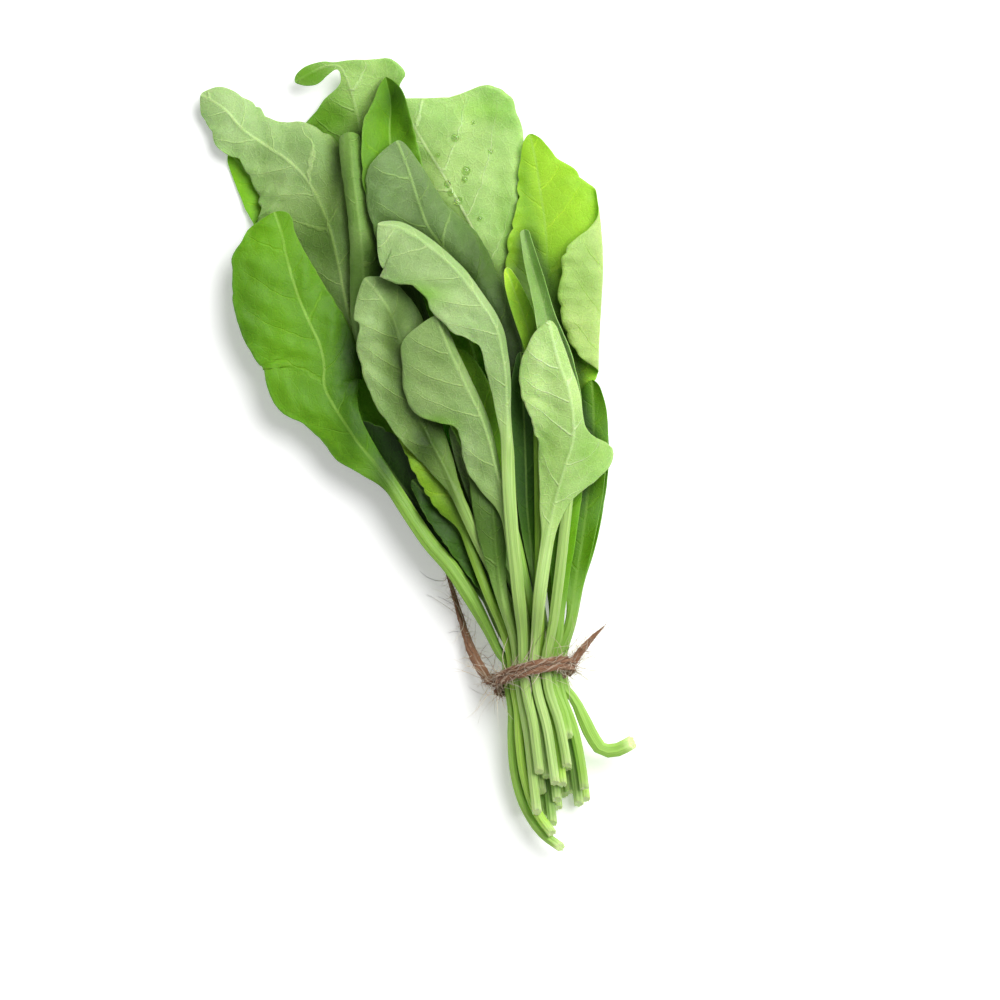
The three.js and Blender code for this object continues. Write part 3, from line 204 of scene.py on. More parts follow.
         rib=((26.4, -44), (21.8, -33), (17.6, -22), (14, -12), (10, -4), (5, 4), (0, 8.5)),
         left=((0, 1.2), (0.1, 1.5), (0.3, 4.5), (0.6, 5.5), (0.85, 4.2), (1, 1.5)),
         right=((0, 1.2), (0.3, 3), (0.6, 4), (0.85, 3), (1, 1.5)),
         tilt=(8, 0), curl=(-10, 0), wave=(0.5, 0.2, 3), rings=9),
    dict(name="leaf_inner_narrow", finish="dark", slot=(0, 3), cut=-86, blade=46, rest=14,
         rib=((31.9, -43), (28, -30), (23.2, -19), (19, -9), (15.4, 1), (12.9, 8.5)),
         left=((0, 1.2), (0.4, 1.8), (0.8, 1.9), (1, 1)),
         right=((0, 1.2), (0.4, 1.8), (0.8, 1.9), (1, 1)),
         tilt=(8, 8), curl=(10, 10), wave=(0, 0, 1), across=2, rings=7),
    dict(name="leaf_middle", finish="sage", slot=(-1, 3), cut=-84, blade=60, rest=17, stalk=3,
         rib=((29, -42), (24.4, -30), (19.2, -19.5), (14.8, -10), (10.8, -1.3), (6.3, 7.5), (3.3, 15),
              (1.3, 23.8), (-0.7, 32.5), (-4.3, 40), (-8.8, 45.3)),
         left=((0, 1.6), (0.16, 4), (0.32, 6.8), (0.45, 9.2), (0.6, 11), (0.75, 10.8), (0.84, 8.2),
               (0.88, 9), (0.94, 6.5), (1, 2.5)),
         right=((0, 1.6), (0.16, 3.5), (0.45, 7), (0.6, 8), (0.75, 8), (0.9, 6), (1, 2.5)),
         tilt=(4, -20), curl=(-18, -20), wave=(0.8, 0.3, 4), across=4, rings=14),
    dict(name="leaf_hidden_core", finish="bright", slot=(1, 3), cut=-78, blade=46, rest=12,
         rib=((33, -38), (29, -20), (24, -2), (19, 14), (13, 28)),
         left=((0, 1.3), (0.3, 5), (0.6, 8), (0.9, 6), (1, 1.5)),
         right=((0, 1.3), (0.3, 4), (0.6, 5.5), (0.9, 4), (1, 1.5)),
         tilt=(6, 6), curl=(6, 6), wave=(0.4, 0.4, 2), across=2, rings=7),
    dict(name="leaf_south_east", finish="bright", slot=(2, 3), cut=-82.7, blade=60, rest=9,
         rib=((42, -42), (44, -30), (46, -17), (47.5, -4), (48.5, 9), (48, 20)),
         left=((0, 1.3), (0.15, 2.6), (0.35, 4.4), (0.6, 6.5), (0.87, 5), (1, 1.6)),
         right=((0, 1.3), (0.2, 2.4), (0.4, 3.4), (0.6, 4), (0.87, 3.4), (1, 1.6)),
         tilt=(4, 8), curl=(-8, 14), wave=(0.6, 0.8, 3), rings=9),
    dict(name="leaf_winged", finish="sage", slot=(-1.5, 4), cut=-89, blade=50, rest=17, stalk=2.8,
         rib=((28.4, -44), (26.2, -37), (24.3, -25), (23, -10), (21, 2), (18.8, 11)),
         left=((0, 1.3), (0.2, 2.5), (0.5, 5), (0.8, 4.5), (1, 1.5)),
         right=((0, 1.3), (0.2, 1.8), (0.5, 3.5), (0.8, 3), (1, 1.5)),
         tilt=(-6, 4), curl=(-8, 8), wave=(0.2, 0.2, 2), across=2, rings=9),
    dict(name="leaf_saturated", finish="bright", slot=(1.5, 4), cut=-70, blade=46, rest=15,
         rib=((39.5, -44), (39.8, -37), (39.9, -28), (40.5, -20), (41, -12.5), (42, -5), (43, 5)),
         left=((0, 1.2), (0.15, 1.8), (0.4, 3), (0.7, 4.2), (0.9, 3.2), (1, 1.2)),
         right=((0, 1.2), (0.15, 2), (0.4, 3.2), (0.7, 4), (0.9, 2.8), (1, 1.2)),
         tilt=(6, 6), curl=(4, 4), wave=(0.2, 0.3, 2), across=2, rings=9),
    dict(name="leaf_yellow_tip", finish="lime", slot=(0.5, 4), cut=-82, blade=34, rest=16,
         rib=((34.8, -40), (34.8, -20), (34.6, 0), (34.2, 15), (33, 29), (31, 36), (28.6, 42.3), (26.6, 48)),
         left=((0, 1.2), (0.3, 2.2), (0.6, 3), (0.85, 2.3), (1, 0.9)),
         right=((0, 1.2), (0.3, 2.2), (0.6, 3), (0.85, 2.3), (1, 0.9)),
         tilt=(24, 24), curl=(10, 10), wave=(0, 0, 1), across=2, rings=7),
    dict(name="leaf_front_oval", finish="sage", slot=(-0.5, 4), cut=-80, blade=55, rest=22, stalk=2.9,
         rib=((31.4, -43), (29, -30), (26.8, -14.5), (25.2, -7), (23.4, 0), (21.9, 5.8), (19.9, 11.5),
              (17.6, 16.3), (14.9, 22), (11.8, 28.8), (9, 36)),
         left=((0, 1.6), (0.08, 3), (0.16, 5), (0.3, 7.6), (0.41, 7), (0.5, 7.2), (0.56, 11), (0.62, 14.3),
               (0.73, 15.3), (0.87, 12.4), (0.95, 10), (1, 5)),
         right=((0, 1.6), (0.2, 2.5), (0.5, 4), (0.8, 4.2), (0.95, 3.4), (1, 1.6)),
         tilt=(2, -58), curl=(-22, -20), wave=(0.3, 0, 2), across=4, rings=14),
    dict(name="leaf_rolled_east", finish="sage", slot=(1, 5), cut=-77, blade=66, rest=20, stalk=2.8,
         rib=((37.6, -44), (39.6, -30), (41.6, -12), (43.2, 3), (42.5, 12.5), (40, 22.5), (37.3, 32.5),
              (35.2, 41), (33, 48.8), (31, 57.3)),
         left=((0, 1.3), (0.25, 3), (0.5, 5), (0.7, 4.2), (0.85, 3.8), (1, 2.6)),
         right=((0, 1.3), (0.25, 3), (0.5, 5), (0.7, 3.4), (0.85, 3.6), (1, 2.6)),
         tilt=(((0, 6), (0.5, 26), (1, 40)), ((0, 6), (0.5, 22), (1, 40))),
         curl=(((0, 4), (0.6, 40), (1, 50)), ((0, 4), (0.6, 40), (1, 50))), wave=(0, 0, 1), rings=12),
    dict(name="leaf_front_long", finish="sage", slot=(-1, 5), cut=-78.8, blade=70, rest=24, stalk=3.4,
         rib=((30.6, -45), (29.2, -30), (27.7, -15), (27, -2.5), (26.7, 11.5), (26.3, 21.3), (25.5, 26.8),
              (24.6, 31.3), (22.8, 35.3), (20.8, 38.3), (17.8, 42.5), (15.3, 45.8), (11.5, 49.6),
              (7.8, 52.8), (3.3, 56), (0, 57.8), (-5.4, 58.4)),
         left=((0, 1.8), (0.13, 3), (0.27, 4.8), (0.35, 5.2), (0.41, 7.2), (0.48, 10), (0.53, 10.8),
               (0.605, 11.4), (0.66, 10.8), (0.74, 10.4), (0.81, 12.6), (0.89, 13.6), (0.94, 13),
               (0.98, 10.6), (1, 8.4)),
         right=((0, 1.8), (0.13, 2.6), (0.3, 3.6), (0.6, 4.6), (0.85, 4.4), (0.95, 3.4), (1, 2)),
         tilt=(0, -58), curl=(-20, -20), wave=(0.3, 0, 3), across=4, rings=17),
    dict(name="leaf_front_pale", finish="pale", slot=(0, 5), cut=-81.5, blade=57, rest=24, stalk=3.4,
         rib=((33.9, -44), (34.7, -35), (36, -25), (37.7, -14.8), (39.8, -6.3), (41.5, -0.8), (43.1, 4.3),
              (43.2, 9.8), (42, 17.5), (40, 23), (38.3, 28.8), (37.2, 34.6)),
         left=((0, 1.8), (0.07, 2.6), (0.23, 4.8), (0.34, 7.2), (0.435, 9.2), (0.54, 10.4), (0.68, 11.8),
               (0.79, 11.2), (0.87, 8.8), (0.93, 5.8), (1, 2)),
         right=((0, 1.8), (0.1, 2.4), (0.2, 3.8), (0.32, 8.6), (0.41, 11.2), (0.455, 10.6), (0.485, 5.4),
                (0.53, 3.2), (0.68, 3), (0.85, 3), (1, 1.6)),
         tilt=(((0, 2), (0.4, 6), (1, 2)), ((0, 4), (0.3, -6), (0.6, -30), (1, -30))),
         curl=(-24, -8), wave=(0.3, 0.3, 2), across=4, rings=13, extra=(0.455, 0.49)),
)

# How each leaf shows itself.
# up: face for the upper side of the blade, back for its ribbed underside. vein: distance between its veins.
# tone_shade_glow: brightness, which is the leaf's own tone together with painted shade and painted light, and
# share of painted glowing green, as of light through the blade. teeth: depth and spacing of the teeth at the
# margins.
# frill: how far the margins ripple. puff: how far the blade swells between its veins. cells: number of cells
# in each half. tip: length of its round end. grow: what the halves are wider by than in the solid.
# ridge: height of the midrib. rib: how clear its pale line is. crowd: share of the painted shade where its
# neighbours stand over it. light_shade_patches: soft patches of painted shade and painted light, as x and y
# on the plan, half-width, half-length, brightness there and added painted glow.
LOOKS = {
    "leaf_hidden_middle": dict(up="face", crowd=0, vein=9, tone_shade_glow=(1.7, 0)),
    "leaf_hidden_west": dict(up="face", crowd=0.35, grow=(0, 1.5), vein=9, tone_shade_glow=(1.4, 0.5)),
    "leaf_north_pale": dict(
        up="back", vein=11, rib=0.9, tone_shade_glow=(0.95, 0.1), cells=20, puff=0.45,
        light_shade_patches=((-18.8, 86, 6.5, 5.5, 0.72, 0.9), (-24, 96.5, 6, 3, 0.8, 0.8), (-10, 92, 5, 4, 1.12, 0),
               (-3.5, 90, 2.5, 8, 0.8, 0), (-9, 82, 3, 4, 0.85, 0.2), (-17, 78, 6, 7, 0.72, 0.2))),
    "leaf_hidden_east": dict(up="face", crowd=0.35, vein=9, tone_shade_glow=(0.75, 0.2)),
    "leaf_west_outer": dict(
        up="back", vein=11, rib=1.3, frill=0.4, tone_shade_glow=(1, 0), teeth=(0.7, 5.5), cells=20, puff=0.6,
        light_shade_patches=((-16.3, 74, 2.6, 11, 0.35, 0.1), (-18.8, 55, 7, 12, 0.42, 0.1), (-30, 62, 9, 9, 0.82, 0),
               (-41, 85, 10, 7, 1.2, 0), (-37, 66, 5, 14, 1.02, 0.15), (-25, 70, 4, 6, 1.15, 0))),
    "leaf_rolled": dict(
        up="back", vein=32, tone_shade_glow=(0.74, 0.3), cells=20, puff=0.1, tip=1.6,
        light_shade_patches=((-13.4, 68, 1.2, 12, 0.75, 0), (-9, 46, 5, 7, 0.72, 0), (-11.5, 79, 2.4, 4, 0.9, 0.2))),
    "leaf_north_east": dict(
        up="back", vein=13, tone_shade_glow=(1.06, 0), ridge=1, rib=1.6, grow=(0, 1), teeth=(0.5, 8), cells=20, puff=0.6,
        light_shade_patches=((8, 73, 3, 10, 0.85, 0), (27, 60, 3, 12, 0.9, 0.3), (21, 88, 8, 3, 1, 0.5),
               (21, 58, 3, 5, 1.25, 0),
               (11, 86, 7, 5, 1.2, 0))),
    "leaf_north_cup": dict(
        up="face", vein=12, tone_shade_glow=(0.95, 0.1), puff=0.3,
        light_shade_patches=((-1.6, 91, 2.8, 5, 0.3, 0.6), (1.8, 84, 1.6, 6, 0.6, 0.2), (-4.5, 79, 3, 6, 1.15, 0))),
    "leaf_east_folded": dict(
        up="face", vein=11, tone_shade_glow=(1.05, 0.18), frill=0.6, teeth=(0.8, 6), cells=30, puff=0.25,
        light_shade_patches=((32.5, 60, 2.4, 9, 0.72, 0.3), (31, 70, 1.6, 8, 0.8, 0.3), (44, 62, 5, 10, 1.1, 0),
               (38, 45, 3, 9, 0.85, 0.3),
               (46, 26, 3, 12, 0.9, 0.1))),
    "leaf_bent_stem": dict(up="face", vein=8, tone_shade_glow=(0.8, 0), light_shade_patches=((48, -70, 12, 12, 1.05, -0.2),)),
    "leaf_centre_back": dict(
        up="back", vein=12, tone_shade_glow=(0.88, 0), ridge=0.6, rib=1.4, cells=20, puff=0.6,
        light_shade_patches=((19, 48, 4.5, 11, 0.42, 0.12), (26, 30, 4, 12, 0.5, 0), (-4, 72, 5, 7, 1.15, 0),
               (12, 34, 8, 9, 0.7, 0.25),
               (2, 60, 5, 5, 0.9, 0))),
    "leaf_dark_fold": dict(up="face", vein=7, tone_shade_glow=(0.36, 0), frill=0.8, teeth=(0.9, 4), puff=0.3),
    "leaf_west_front": dict(
        up="face", vein=12, rib=0.9, tone_shade_glow=(0.94, 0.2), cells=20, puff=0.6, tip=2,
        light_shade_patches=((-12, 25, 5.5, 14, 0.25, 0), (-33, 55, 7, 6, 1.02, 0.5), (-31, 30, 7, 12, 1.12, 0.1),
               (-11, 8, 4, 7, 0.55, 0), (-4, -2, 3.8, 9, 0.3, 0), (-38, 36, 3, 8, 0.85, 0),
               (-22, 8, 5, 6, 1, 0.2))),
    "leaf_dark_wavy": dict(
        up="face", vein=6, tone_shade_glow=(0.4, 0.1), frill=0.8, teeth=(0.9, 4), puff=0.3,
        light_shade_patches=((20, -32, 4, 12, 0.6, 0),)),
    "leaf_dark_strip": dict(up="face", crowd=0, vein=7, tone_shade_glow=(0.9, 0)),
    "leaf_bright_edge": dict(
        up="face", vein=7, tone_shade_glow=(0.6, 0), frill=0.8, teeth=(0.9, 4), cells=20, puff=0.3,
        light_shade_patches=((13, -12, 3, 8, 0.7, 0),)),
    "leaf_inner_narrow": dict(up="back", crowd=0, vein=7, tone_shade_glow=(0.7, 0)),
    "leaf_middle": dict(
        up="back", vein=9.5, tone_shade_glow=(0.9, 0), ridge=0.5, cells=20, puff=0.55,
        light_shade_patches=((-1.2, 30, 3.2, 13, 0.28, 0), (6.5, 5, 5.5, 10, 0.14, 0), (1.5, 18, 3, 8, 0.6, 0),
               (-6.5, 37, 4, 6, 1.12, 0), (-4, 18, 2.5, 9, 1, 0),
               (12, -8, 4, 10, 0.4, 0))),
    "leaf_hidden_core": dict(up="face", crowd=0, vein=7, tone_shade_glow=(1.2, 0)),
    "leaf_south_east": dict(up="face", vein=7, tone_shade_glow=(0.8, 0.1)),
    "leaf_winged": dict(up="back", vein=7, tone_shade_glow=(0.33, 0.15)),
    "leaf_saturated": dict(up="face", vein=7, tone_shade_glow=(0.95, 0.6)),
    "leaf_yellow_tip": dict(up="face", vein=7, tone_shade_glow=(0.72, 0.3), light_shade_patches=((27, 47, 3, 5, 2.1, -0.4),)),
    "leaf_front_oval": dict(
        up="back", vein=10, tone_shade_glow=(0.84, 0), ridge=0.3, cells=20, puff=0.4, tip=3,
        light_shade_patches=((8, 24, 6, 9, 0.88, 0), (17, 4, 4, 9, 1.25, 0), (9, 9, 5, 2, 0.9, 0.7))),
    "leaf_rolled_east": dict(up="back", vein=24, tone_shade_glow=(1.1, 0.15), tip=1, light_shade_patches=((34, 45, 3, 9, 0.9, 0.1),)),
    "leaf_front_long": dict(
        up="back", vein=10, tone_shade_glow=(1.1, 0), ridge=0.25, rib=0.35, cells=20, puff=0.42, tip=1.5,
        light_shade_patches=((5, 41, 6, 3, 0.95, 0.7), (24, 15, 3, 10, 0.9, 0), (20, 32, 4, 6, 1.1, 0))),
    "leaf_front_pale": dict(
        up="back", vein=10, tone_shade_glow=(1.14, 0), ridge=0.5, cells=20, puff=0.4,
        light_shade_patches=((35.5, 25, 3.5, 8, 1.2, 0), (37.5, 2, 3, 6, 0.78, 0.15), (48.5, 1.5, 4, 5, 0.92, 0.35),
               (34, 10, 3, 6, 1.05, 0), (38.5, -6, 4, 9, 0.85, 0))),
}


# Plain curves
def lerp(a, b, t):
    return a + (b - a) * t


def smoothstep(x, low, high):
    t = np.clip((np.asarray(x, float) - low) / (high - low), 0, 1)
    return t * t * (3 - 2 * t)


def cubic(t, a, b, leaving, arriving):
    """A smooth way from a to b with the slopes that it leaves and arrives with, read at a share t of it."""
    t2, t3 = t * t, t * t * t
    return (a * (2 * t3 - 3 * t2 + 1) + leaving * (t3 - 2 * t2 + t)
            + b * (3 * t2 - 2 * t3) + arriving * (t3 - t2))


def along(value, v):
    """A plain number, or pairs of place and value joined by smooth steps, read at v."""
    v = np.asarray(v, float)
    if np.isscalar(value):
        return np.full(v.shape, float(value))
    pairs = np.array(value, float)
    if pairs[0, 0] > pairs[-1, 0]:
        pairs = pairs[::-1]
    at, height = pairs[:, 0], pairs[:, 1]
    i = np.searchsorted(at[1:-1], v, side="left")
    before, after = np.maximum(i - 1, 0), np.minimum(i + 2, len(at) - 1)
    span = at[i + 1] - at[i]
    leaving = (height[i + 1] - height[before]) / (at[i + 1] - at[before])
    arriving = (height[after] - height[i]) / (at[after] - at[i])
    return cubic(np.clip((v - at[i]) / span, 0, 1), height[i], height[i + 1], span * leaving, span * arriving)


def smooth_route(points, step=0.5):
    """A smooth curve through points, in pieces no longer than step."""
    p = np.array(points, float)
    gap = np.linalg.norm(np.diff(p, axis=0), axis=1)
    chord = np.diff(p, axis=0) / gap[:, None]
    share = (gap[1:] / (gap[:-1] + gap[1:]))[:, None]
    tangent = np.vstack([chord[:1], chord[:-1] * share + chord[1:] * (1 - share), chord[-1:]])
    route = []
    for i, length in enumerate(gap):
        cells = max(1, math.ceil(length / step))
        t = (np.arange(cells + 1) / cells)[1 if i else 0:, None]
        route.append(cubic(t, p[i], p[i + 1], tangent[i] * length, tangent[i + 1] * length))
    return np.vstack(route)


def unit(v):
    return v / np.linalg.norm(v, axis=-1, keepdims=True)


def clock(sides):
    """Angles of points that stand evenly round a ring."""
    return np.linspace(0, 2 * math.pi, sides, endpoint=False)


class Path:
    """A route with frames along it that turn as little as they can."""

    def __init__(self, route):
        self.p = route
        self.s = np.concatenate([[0], np.cumsum(np.linalg.norm(np.diff(route, axis=0), axis=1))])
        self.length = self.s[-1]
        self.ahead = unit(np.vstack([route[1:], route[-1:]]) - np.vstack([route[:1], route[:-1]]))
        up = np.array([0.0, 0.0, 1.0])
        ups = []
        for ahead in self.ahead:
            up = up - ahead * up.dot(ahead)
            up = up / np.linalg.norm(up)
            ups.append(up)
        self.up = np.array(ups)
        self.side = np.cross(self.ahead, self.up)

    def at(self, s):
        """Places on the route and the three directions there: up, sideways and ahead."""
        def read(rows):
            return np.stack([np.interp(s, self.s, rows[:, k]) for k in range(3)], axis=-1)
        return read(self.p), unit(read(self.up)), unit(read(self.side)), unit(read(self.ahead))

    def tube(self, radii, around):
        """Rings of points round the route."""
        spokes = self.side[:, None] * np.cos(around)[:, None] + self.up[:, None] * np.sin(around)[:, None]
        return self.p[:, None] + radii[:, None, None] * spokes


# The rule of a leaf: its midrib, the section across it, and rows of points over and under it.
# FOOT_POINTS: points of the route below the tie. REST_FROM: from here on a leaf is at its rest.
# OPENING: where the stem opens into the blade, counted from the base of the blade in millimetres.
# LEAST_WIDTH: least half-width of a blade. STALK_HEIGHT: greatest height of a stem above the tie.
FOOT_POINTS = 3
REST_FROM = TIE_Y + 75
OPENING = (-4, 9)
LEAST_WIDTH = 0.5
STALK_HEIGHT = 2.3
SECTION_STEPS = 60
LEFT, RIGHT = 0, 1


def leaf_path(leaf):
    """The route of a leaf from its cut end through the tie to its tip, before it settles."""
    column, row = leaf["slot"]
    slot_x, slot_z = TIE_X + column * PITCH, FIRST_ROW_Z + row * ROW_STEP
    foot = leaf.get("foot")
    if foot is None:
        start = TIE_Y - 5.5
        ys = [start - (start - leaf["cut"]) * k / FOOT_POINTS for k in range(1, FOOT_POINTS + 1)]
        foot = [(float(along(FOOT_AXIS, y)) + column * PITCH * float(along(FOOT_SPREAD, y)), y) for y in ys]
    points = [(x, y, slot_z - FOOT_DROP * float(smoothstep(TIE_Y - y, 4, 34))) for x, y in reversed(foot)]
    points += [(slot_x + 0.4, TIE_Y - 3, slot_z), (slot_x, TIE_Y, slot_z),
               (slot_x - 0.25, TIE_Y + 3.5, slot_z)]
    for x, y, *step in leaf["rib"]:
        share = float(smoothstep(y, TIE_Y + 5, REST_FROM))
        points.append((x, y, lerp(slot_z, leaf["rest"], share) + sum(step)))
    return Path(smooth_route(points))


def stem_sizes(leaf, y):
    """Half-width and half-height of the stem along its route."""
    stalk = leaf.get("stalk", STEM)
    grown = smoothstep(y, TIE_Y + 6, TIE_Y + 22)
    at_cut = smoothstep(TIE_Y - y, 5, 14)
    width = lerp(lerp(STEM, leaf.get("cutWidth", STEM), at_cut), stalk, grown) / 2
    return width, lerp(STEM, min(stalk, STALK_HEIGHT), grown) / 2


def blade_width(leaf, half, v):
    return np.maximum(along(leaf["right" if half == RIGHT else "left"], v), LEAST_WIDTH)


def half_section(leaf, half, v, width, reach):
    """Offsets sideways and upwards from the midrib, and the angle there, at shares of a half-width."""
    share = np.arange(SECTION_STEPS + 1) / SECTION_STEPS
    angle = along(leaf["tilt"][half], v)[:, None] + along(leaf["curl"][half], v)[:, None] * share
    if half == RIGHT and "fold" in leaf:
        start, radius, degrees = leaf["fold"]
        turned = np.clip((share * width[:, None] - start) / (radius * math.pi * degrees / 180), 0, 1)
        angle = angle + turned * degrees * (v > 0.02)[:, None]
    angle = np.radians(angle)
    step = width[:, None] / SECTION_STEPS
    x = np.cumsum(np.cos(angle) * step, axis=1) - np.cos(angle) * step
    z = np.cumsum(np.sin(angle) * step, axis=1) - np.sin(angle) * step
    pick = np.ceil(np.array(reach) * SECTION_STEPS - 1e-9).astype(int)
    waves = leaf["wave"]
    wave = waves[half] * np.square(reach) * np.sin(2 * math.pi * waves[2] * v + half * 2)[:, None]
    return x[:, pick], z[:, pick] + wave, angle[:, pick]


def stem_turn(count):
    """Angles at which the points of one half stand round the stem."""
    return math.pi / 2 * (1 - (np.arange(count) + 1) / (count + 0.5))


def from_left(left, middle, right):
    """Columns of both halves and of the midrib between them, from the left margin to the right one."""
    return [np.hstack([a[:, ::-1], b, c]) for a, b, c in zip(left, middle, right)]


class Rings:
    """A leaf at places along its route: the frames there, and how far its stem has opened into a blade."""

    def __init__(self, leaf, path, places):
        self.places = places
        self.p, self.up, self.side, _ = path.at(places)
        self.past = places - (path.length - leaf["blade"])
        self.v = np.clip(self.past / leaf["blade"], 0, 1)
        self.opened = smoothstep(self.past, *OPENING)[:, None]
        self.stem_width, self.stem_height = stem_sizes(leaf, self.p[:, 1:2])

    def skin(self, x, z, angle, over, under):
        """Points over the section from left to right, then back under it."""
        rows = []
        for sign, half in ((1, over), (-1, under)):
            rows.append(self.p[:, None] + self.side[:, None] * (x - sign * half * np.sin(angle))[..., None]
                        + self.up[:, None] * (z + sign * half * np.cos(angle))[..., None])
        return np.concatenate([rows[0], rows[1][:, ::-1]], axis=1)


def solid_places(leaf, path):
    """Where along its route the solid leaf has its rings."""
    base = path.length - leaf["blade"]
    tie = path.s[np.argmin(np.abs(path.p[:, 1] - TIE_Y))]
    foot = len(leaf["foot"]) if "foot" in leaf else FOOT_POINTS
    stalk = max(3, math.floor((base - tie) / 10 + 0.5))
    shares = sorted([i / (leaf["rings"] - 1) for i in range(leaf["rings"])] + list(leaf.get("extra", ())))
    return np.array([tie * i / foot for i in range(foot)]
                    + [tie + (base - tie) * i / stalk for i in range(stalk)]
                    + [base + leaf["blade"] * v for v in shares])


def solid_rings(leaf, path):
    """The rings of the solid leaf, as its node has them."""
    at = Rings(leaf, path, solid_places(leaf, path))
    across = leaf.get("across", 3)
    reach = leaf.get("reach", [(i + 1) / across for i in range(across)])
    turn = stem_turn(len(reach))
    halves = []
    for half, sign in ((LEFT, -1), (RIGHT, 1)):
        x, z, angle = half_section(leaf, half, at.v, blade_width(leaf, half, at.v), reach)
        halves.append((sign * lerp(at.stem_width * np.cos(turn), x, at.opened), z * at.opened,
                       sign * angle * at.opened, lerp(at.stem_height * np.sin(turn), BLADE / 2, at.opened)))
    none = 0 * at.opened
    rib = (none, none, none, lerp(at.stem_height, BLADE / 2 + RIB * (1 - at.v[:, None]), at.opened))
    x, z, angle, thick = from_left(halves[LEFT], rib, halves[RIGHT])
    return at.skin(x, z, angle, thick, thick)


# A raster of heights over the plan, in which the leaves settle on each other.
# CELL, MAP_X, MAP_Y, SAMPLE and GAP are millimetres. SAMPLE: how close together the points of a leaf are
# that are drawn into it. GAP: room between leaves.
# LIFTS: how often a leaf is lifted at most. DRAPE_SLOPE: how steeply it comes down from what lifts it.
# The other values are numbers of cells.
CELL = 0.5
MAP_X, MAP_Y = -60, -110
MAP_NX, MAP_NY = 250, 440
ROW_Y = MAP_Y + (np.arange(MAP_NY)[:, None] + 0.5) * CELL
SAMPLE = 0.35
GAP = 0.45
LIFTS = 3
DRAPE_SLOPE = 0.45
DRAPE_RADIUS = 7
FIRST_REACH = 64
CROWD_RADIUS = 5


def shadow(rings):
    """The lowest and highest points of a leaf in each cell of the raster."""
    under = np.full(MAP_NX * MAP_NY, np.inf)
    over = np.full(MAP_NX * MAP_NY, -np.inf)
    for near, far in zip(rings[:-1], rings[1:]):
        next_near, next_far = np.roll(near, -1, axis=0), np.roll(far, -1, axis=0)
        steps = math.ceil(np.linalg.norm(near - far, axis=1).max() / SAMPLE)
        widths = np.linalg.norm([near - next_near, far - next_far], axis=2)
        cells = math.ceil(widths.max() / SAMPLE)
        a = (np.arange(steps + 1) / steps)[:, None, None, None]
        b = (np.arange(cells + 1) / cells)[None, :, None, None]
        left = near * (1 - a) + far * a
        right = next_near * (1 - a) + next_far * a
        p = (left * (1 - b) + right * b).reshape(-1, 3)
        cell = (np.floor((p[:, 1] - MAP_Y) / CELL) * MAP_NX + np.floor((p[:, 0] - MAP_X) / CELL)).astype(int)
        np.minimum.at(under, cell, p[:, 2])
        np.maximum.at(over, cell, p[:, 2])
    return under.reshape(MAP_NY, MAP_NX), over.reshape(MAP_NY, MAP_NX)


def moved(grid, dx, dy, fill):
    """The grid read dx and dy cells away."""
    out = np.full_like(grid, fill)
    ny, nx = grid.shape
    out[max(0, -dy):ny - max(0, dy), max(0, -dx):nx - max(0, dx)] = \
        grid[max(0, dy):ny + min(0, dy), max(0, dx):nx + min(0, dx)]
    return out


def window(grid, reach, axis, fill):
    """The grid as it is read at each place of a window of cells along one axis."""
    return [moved(grid, k * axis, k * (1 - axis), fill) for k in range(-reach, reach + 1)]


def highest(grid, reach, axis):
    return np.maximum.reduce(window(grid, reach, axis, -np.inf))


def average(grid, reach, axis):
    return sum(window(grid, reach, axis, 0)) / sum(window(np.ones_like(grid), reach, axis, 0))


def smooth_lift(need):
    """The least smooth lift that clears what lies below: a cone round each need, then a blur."""
    lift = need
    step = FIRST_REACH
    while step >= 1:
        last = lift
        for dx, dy in ((1, 0), (-1, 0), (0, 1), (0, -1), (1, 1), (1, -1), (-1, 1), (-1, -1)):
            fall = DRAPE_SLOPE * CELL * step * math.hypot(dx, dy)
            lift = np.maximum(lift, moved(last, dx * step, dy * step, -np.inf) - fall)
        step //= 2
    for axis in (1, 0):
        lift = highest(lift, DRAPE_RADIUS, axis)
    for axis in (1, 0, 1, 0):
        lift = average(lift, DRAPE_RADIUS // 2, axis)
    return lift


def crowding(heights):
    """How high the bunch stands round each cell, on the average."""
    around = np.maximum(heights, 0)
    for axis in (1, 0, 1, 0):
        around = average(around, CROWD_RADIUS, axis)
    return around


def read_map(grid, points):
    """The heights of the raster at points of the plan."""
    u = (points[..., 0] - MAP_X) / CELL - 0.5
    w = (points[..., 1] - MAP_Y) / CELL - 0.5
    i, j = np.floor(u).astype(int), np.floor(w).astype(int)
    a, b = u - i, w - j
    return ((grid[j, i] * (1 - a) + grid[j, i + 1] * a) * (1 - b)
            + (grid[j + 1, i] * (1 - a) + grid[j + 1, i + 1] * a) * b)


def lift_share(y):
    """Near the tie the stems keep their packed places, so the lift fades out there."""
    return smoothstep(y, TIE_Y + 5, TIE_Y + 19)


def settle():
    """Lays the solid leaves on each other from the lowest up, and returns them with the heights."""
    heights = np.full((MAP_NY, MAP_NX), -FLOOR_CUT - GAP)
    laid = {}
    for leaf in LEAVES:
        path = leaf_path(leaf)
        rings = solid_rings(leaf, path)
        drop = 0
        if leaf.get("floor"):
            share = lift_share(rings[..., 1])
            drop = rings[..., 2][share == 1].min() + FLOOR_CUT
            rings[..., 2] -= drop * share
        total = np.zeros((MAP_NY, MAP_NX))
        for _ in range(LIFTS):
            under, _ = shadow(rings)
            need = np.maximum(0, heights + GAP - under) * lift_share(ROW_Y)
            if need.max() < 0.02:
                break
            lift = np.maximum(smooth_lift(need), 0)
            total += lift
            rings[..., 2] += read_map(lift, rings) * lift_share(rings[..., 1])
        _, over = shadow(rings)
        heights = np.maximum(heights, over)
        laid[leaf["name"]] = (path, total - drop, rings)
    return laid, heights


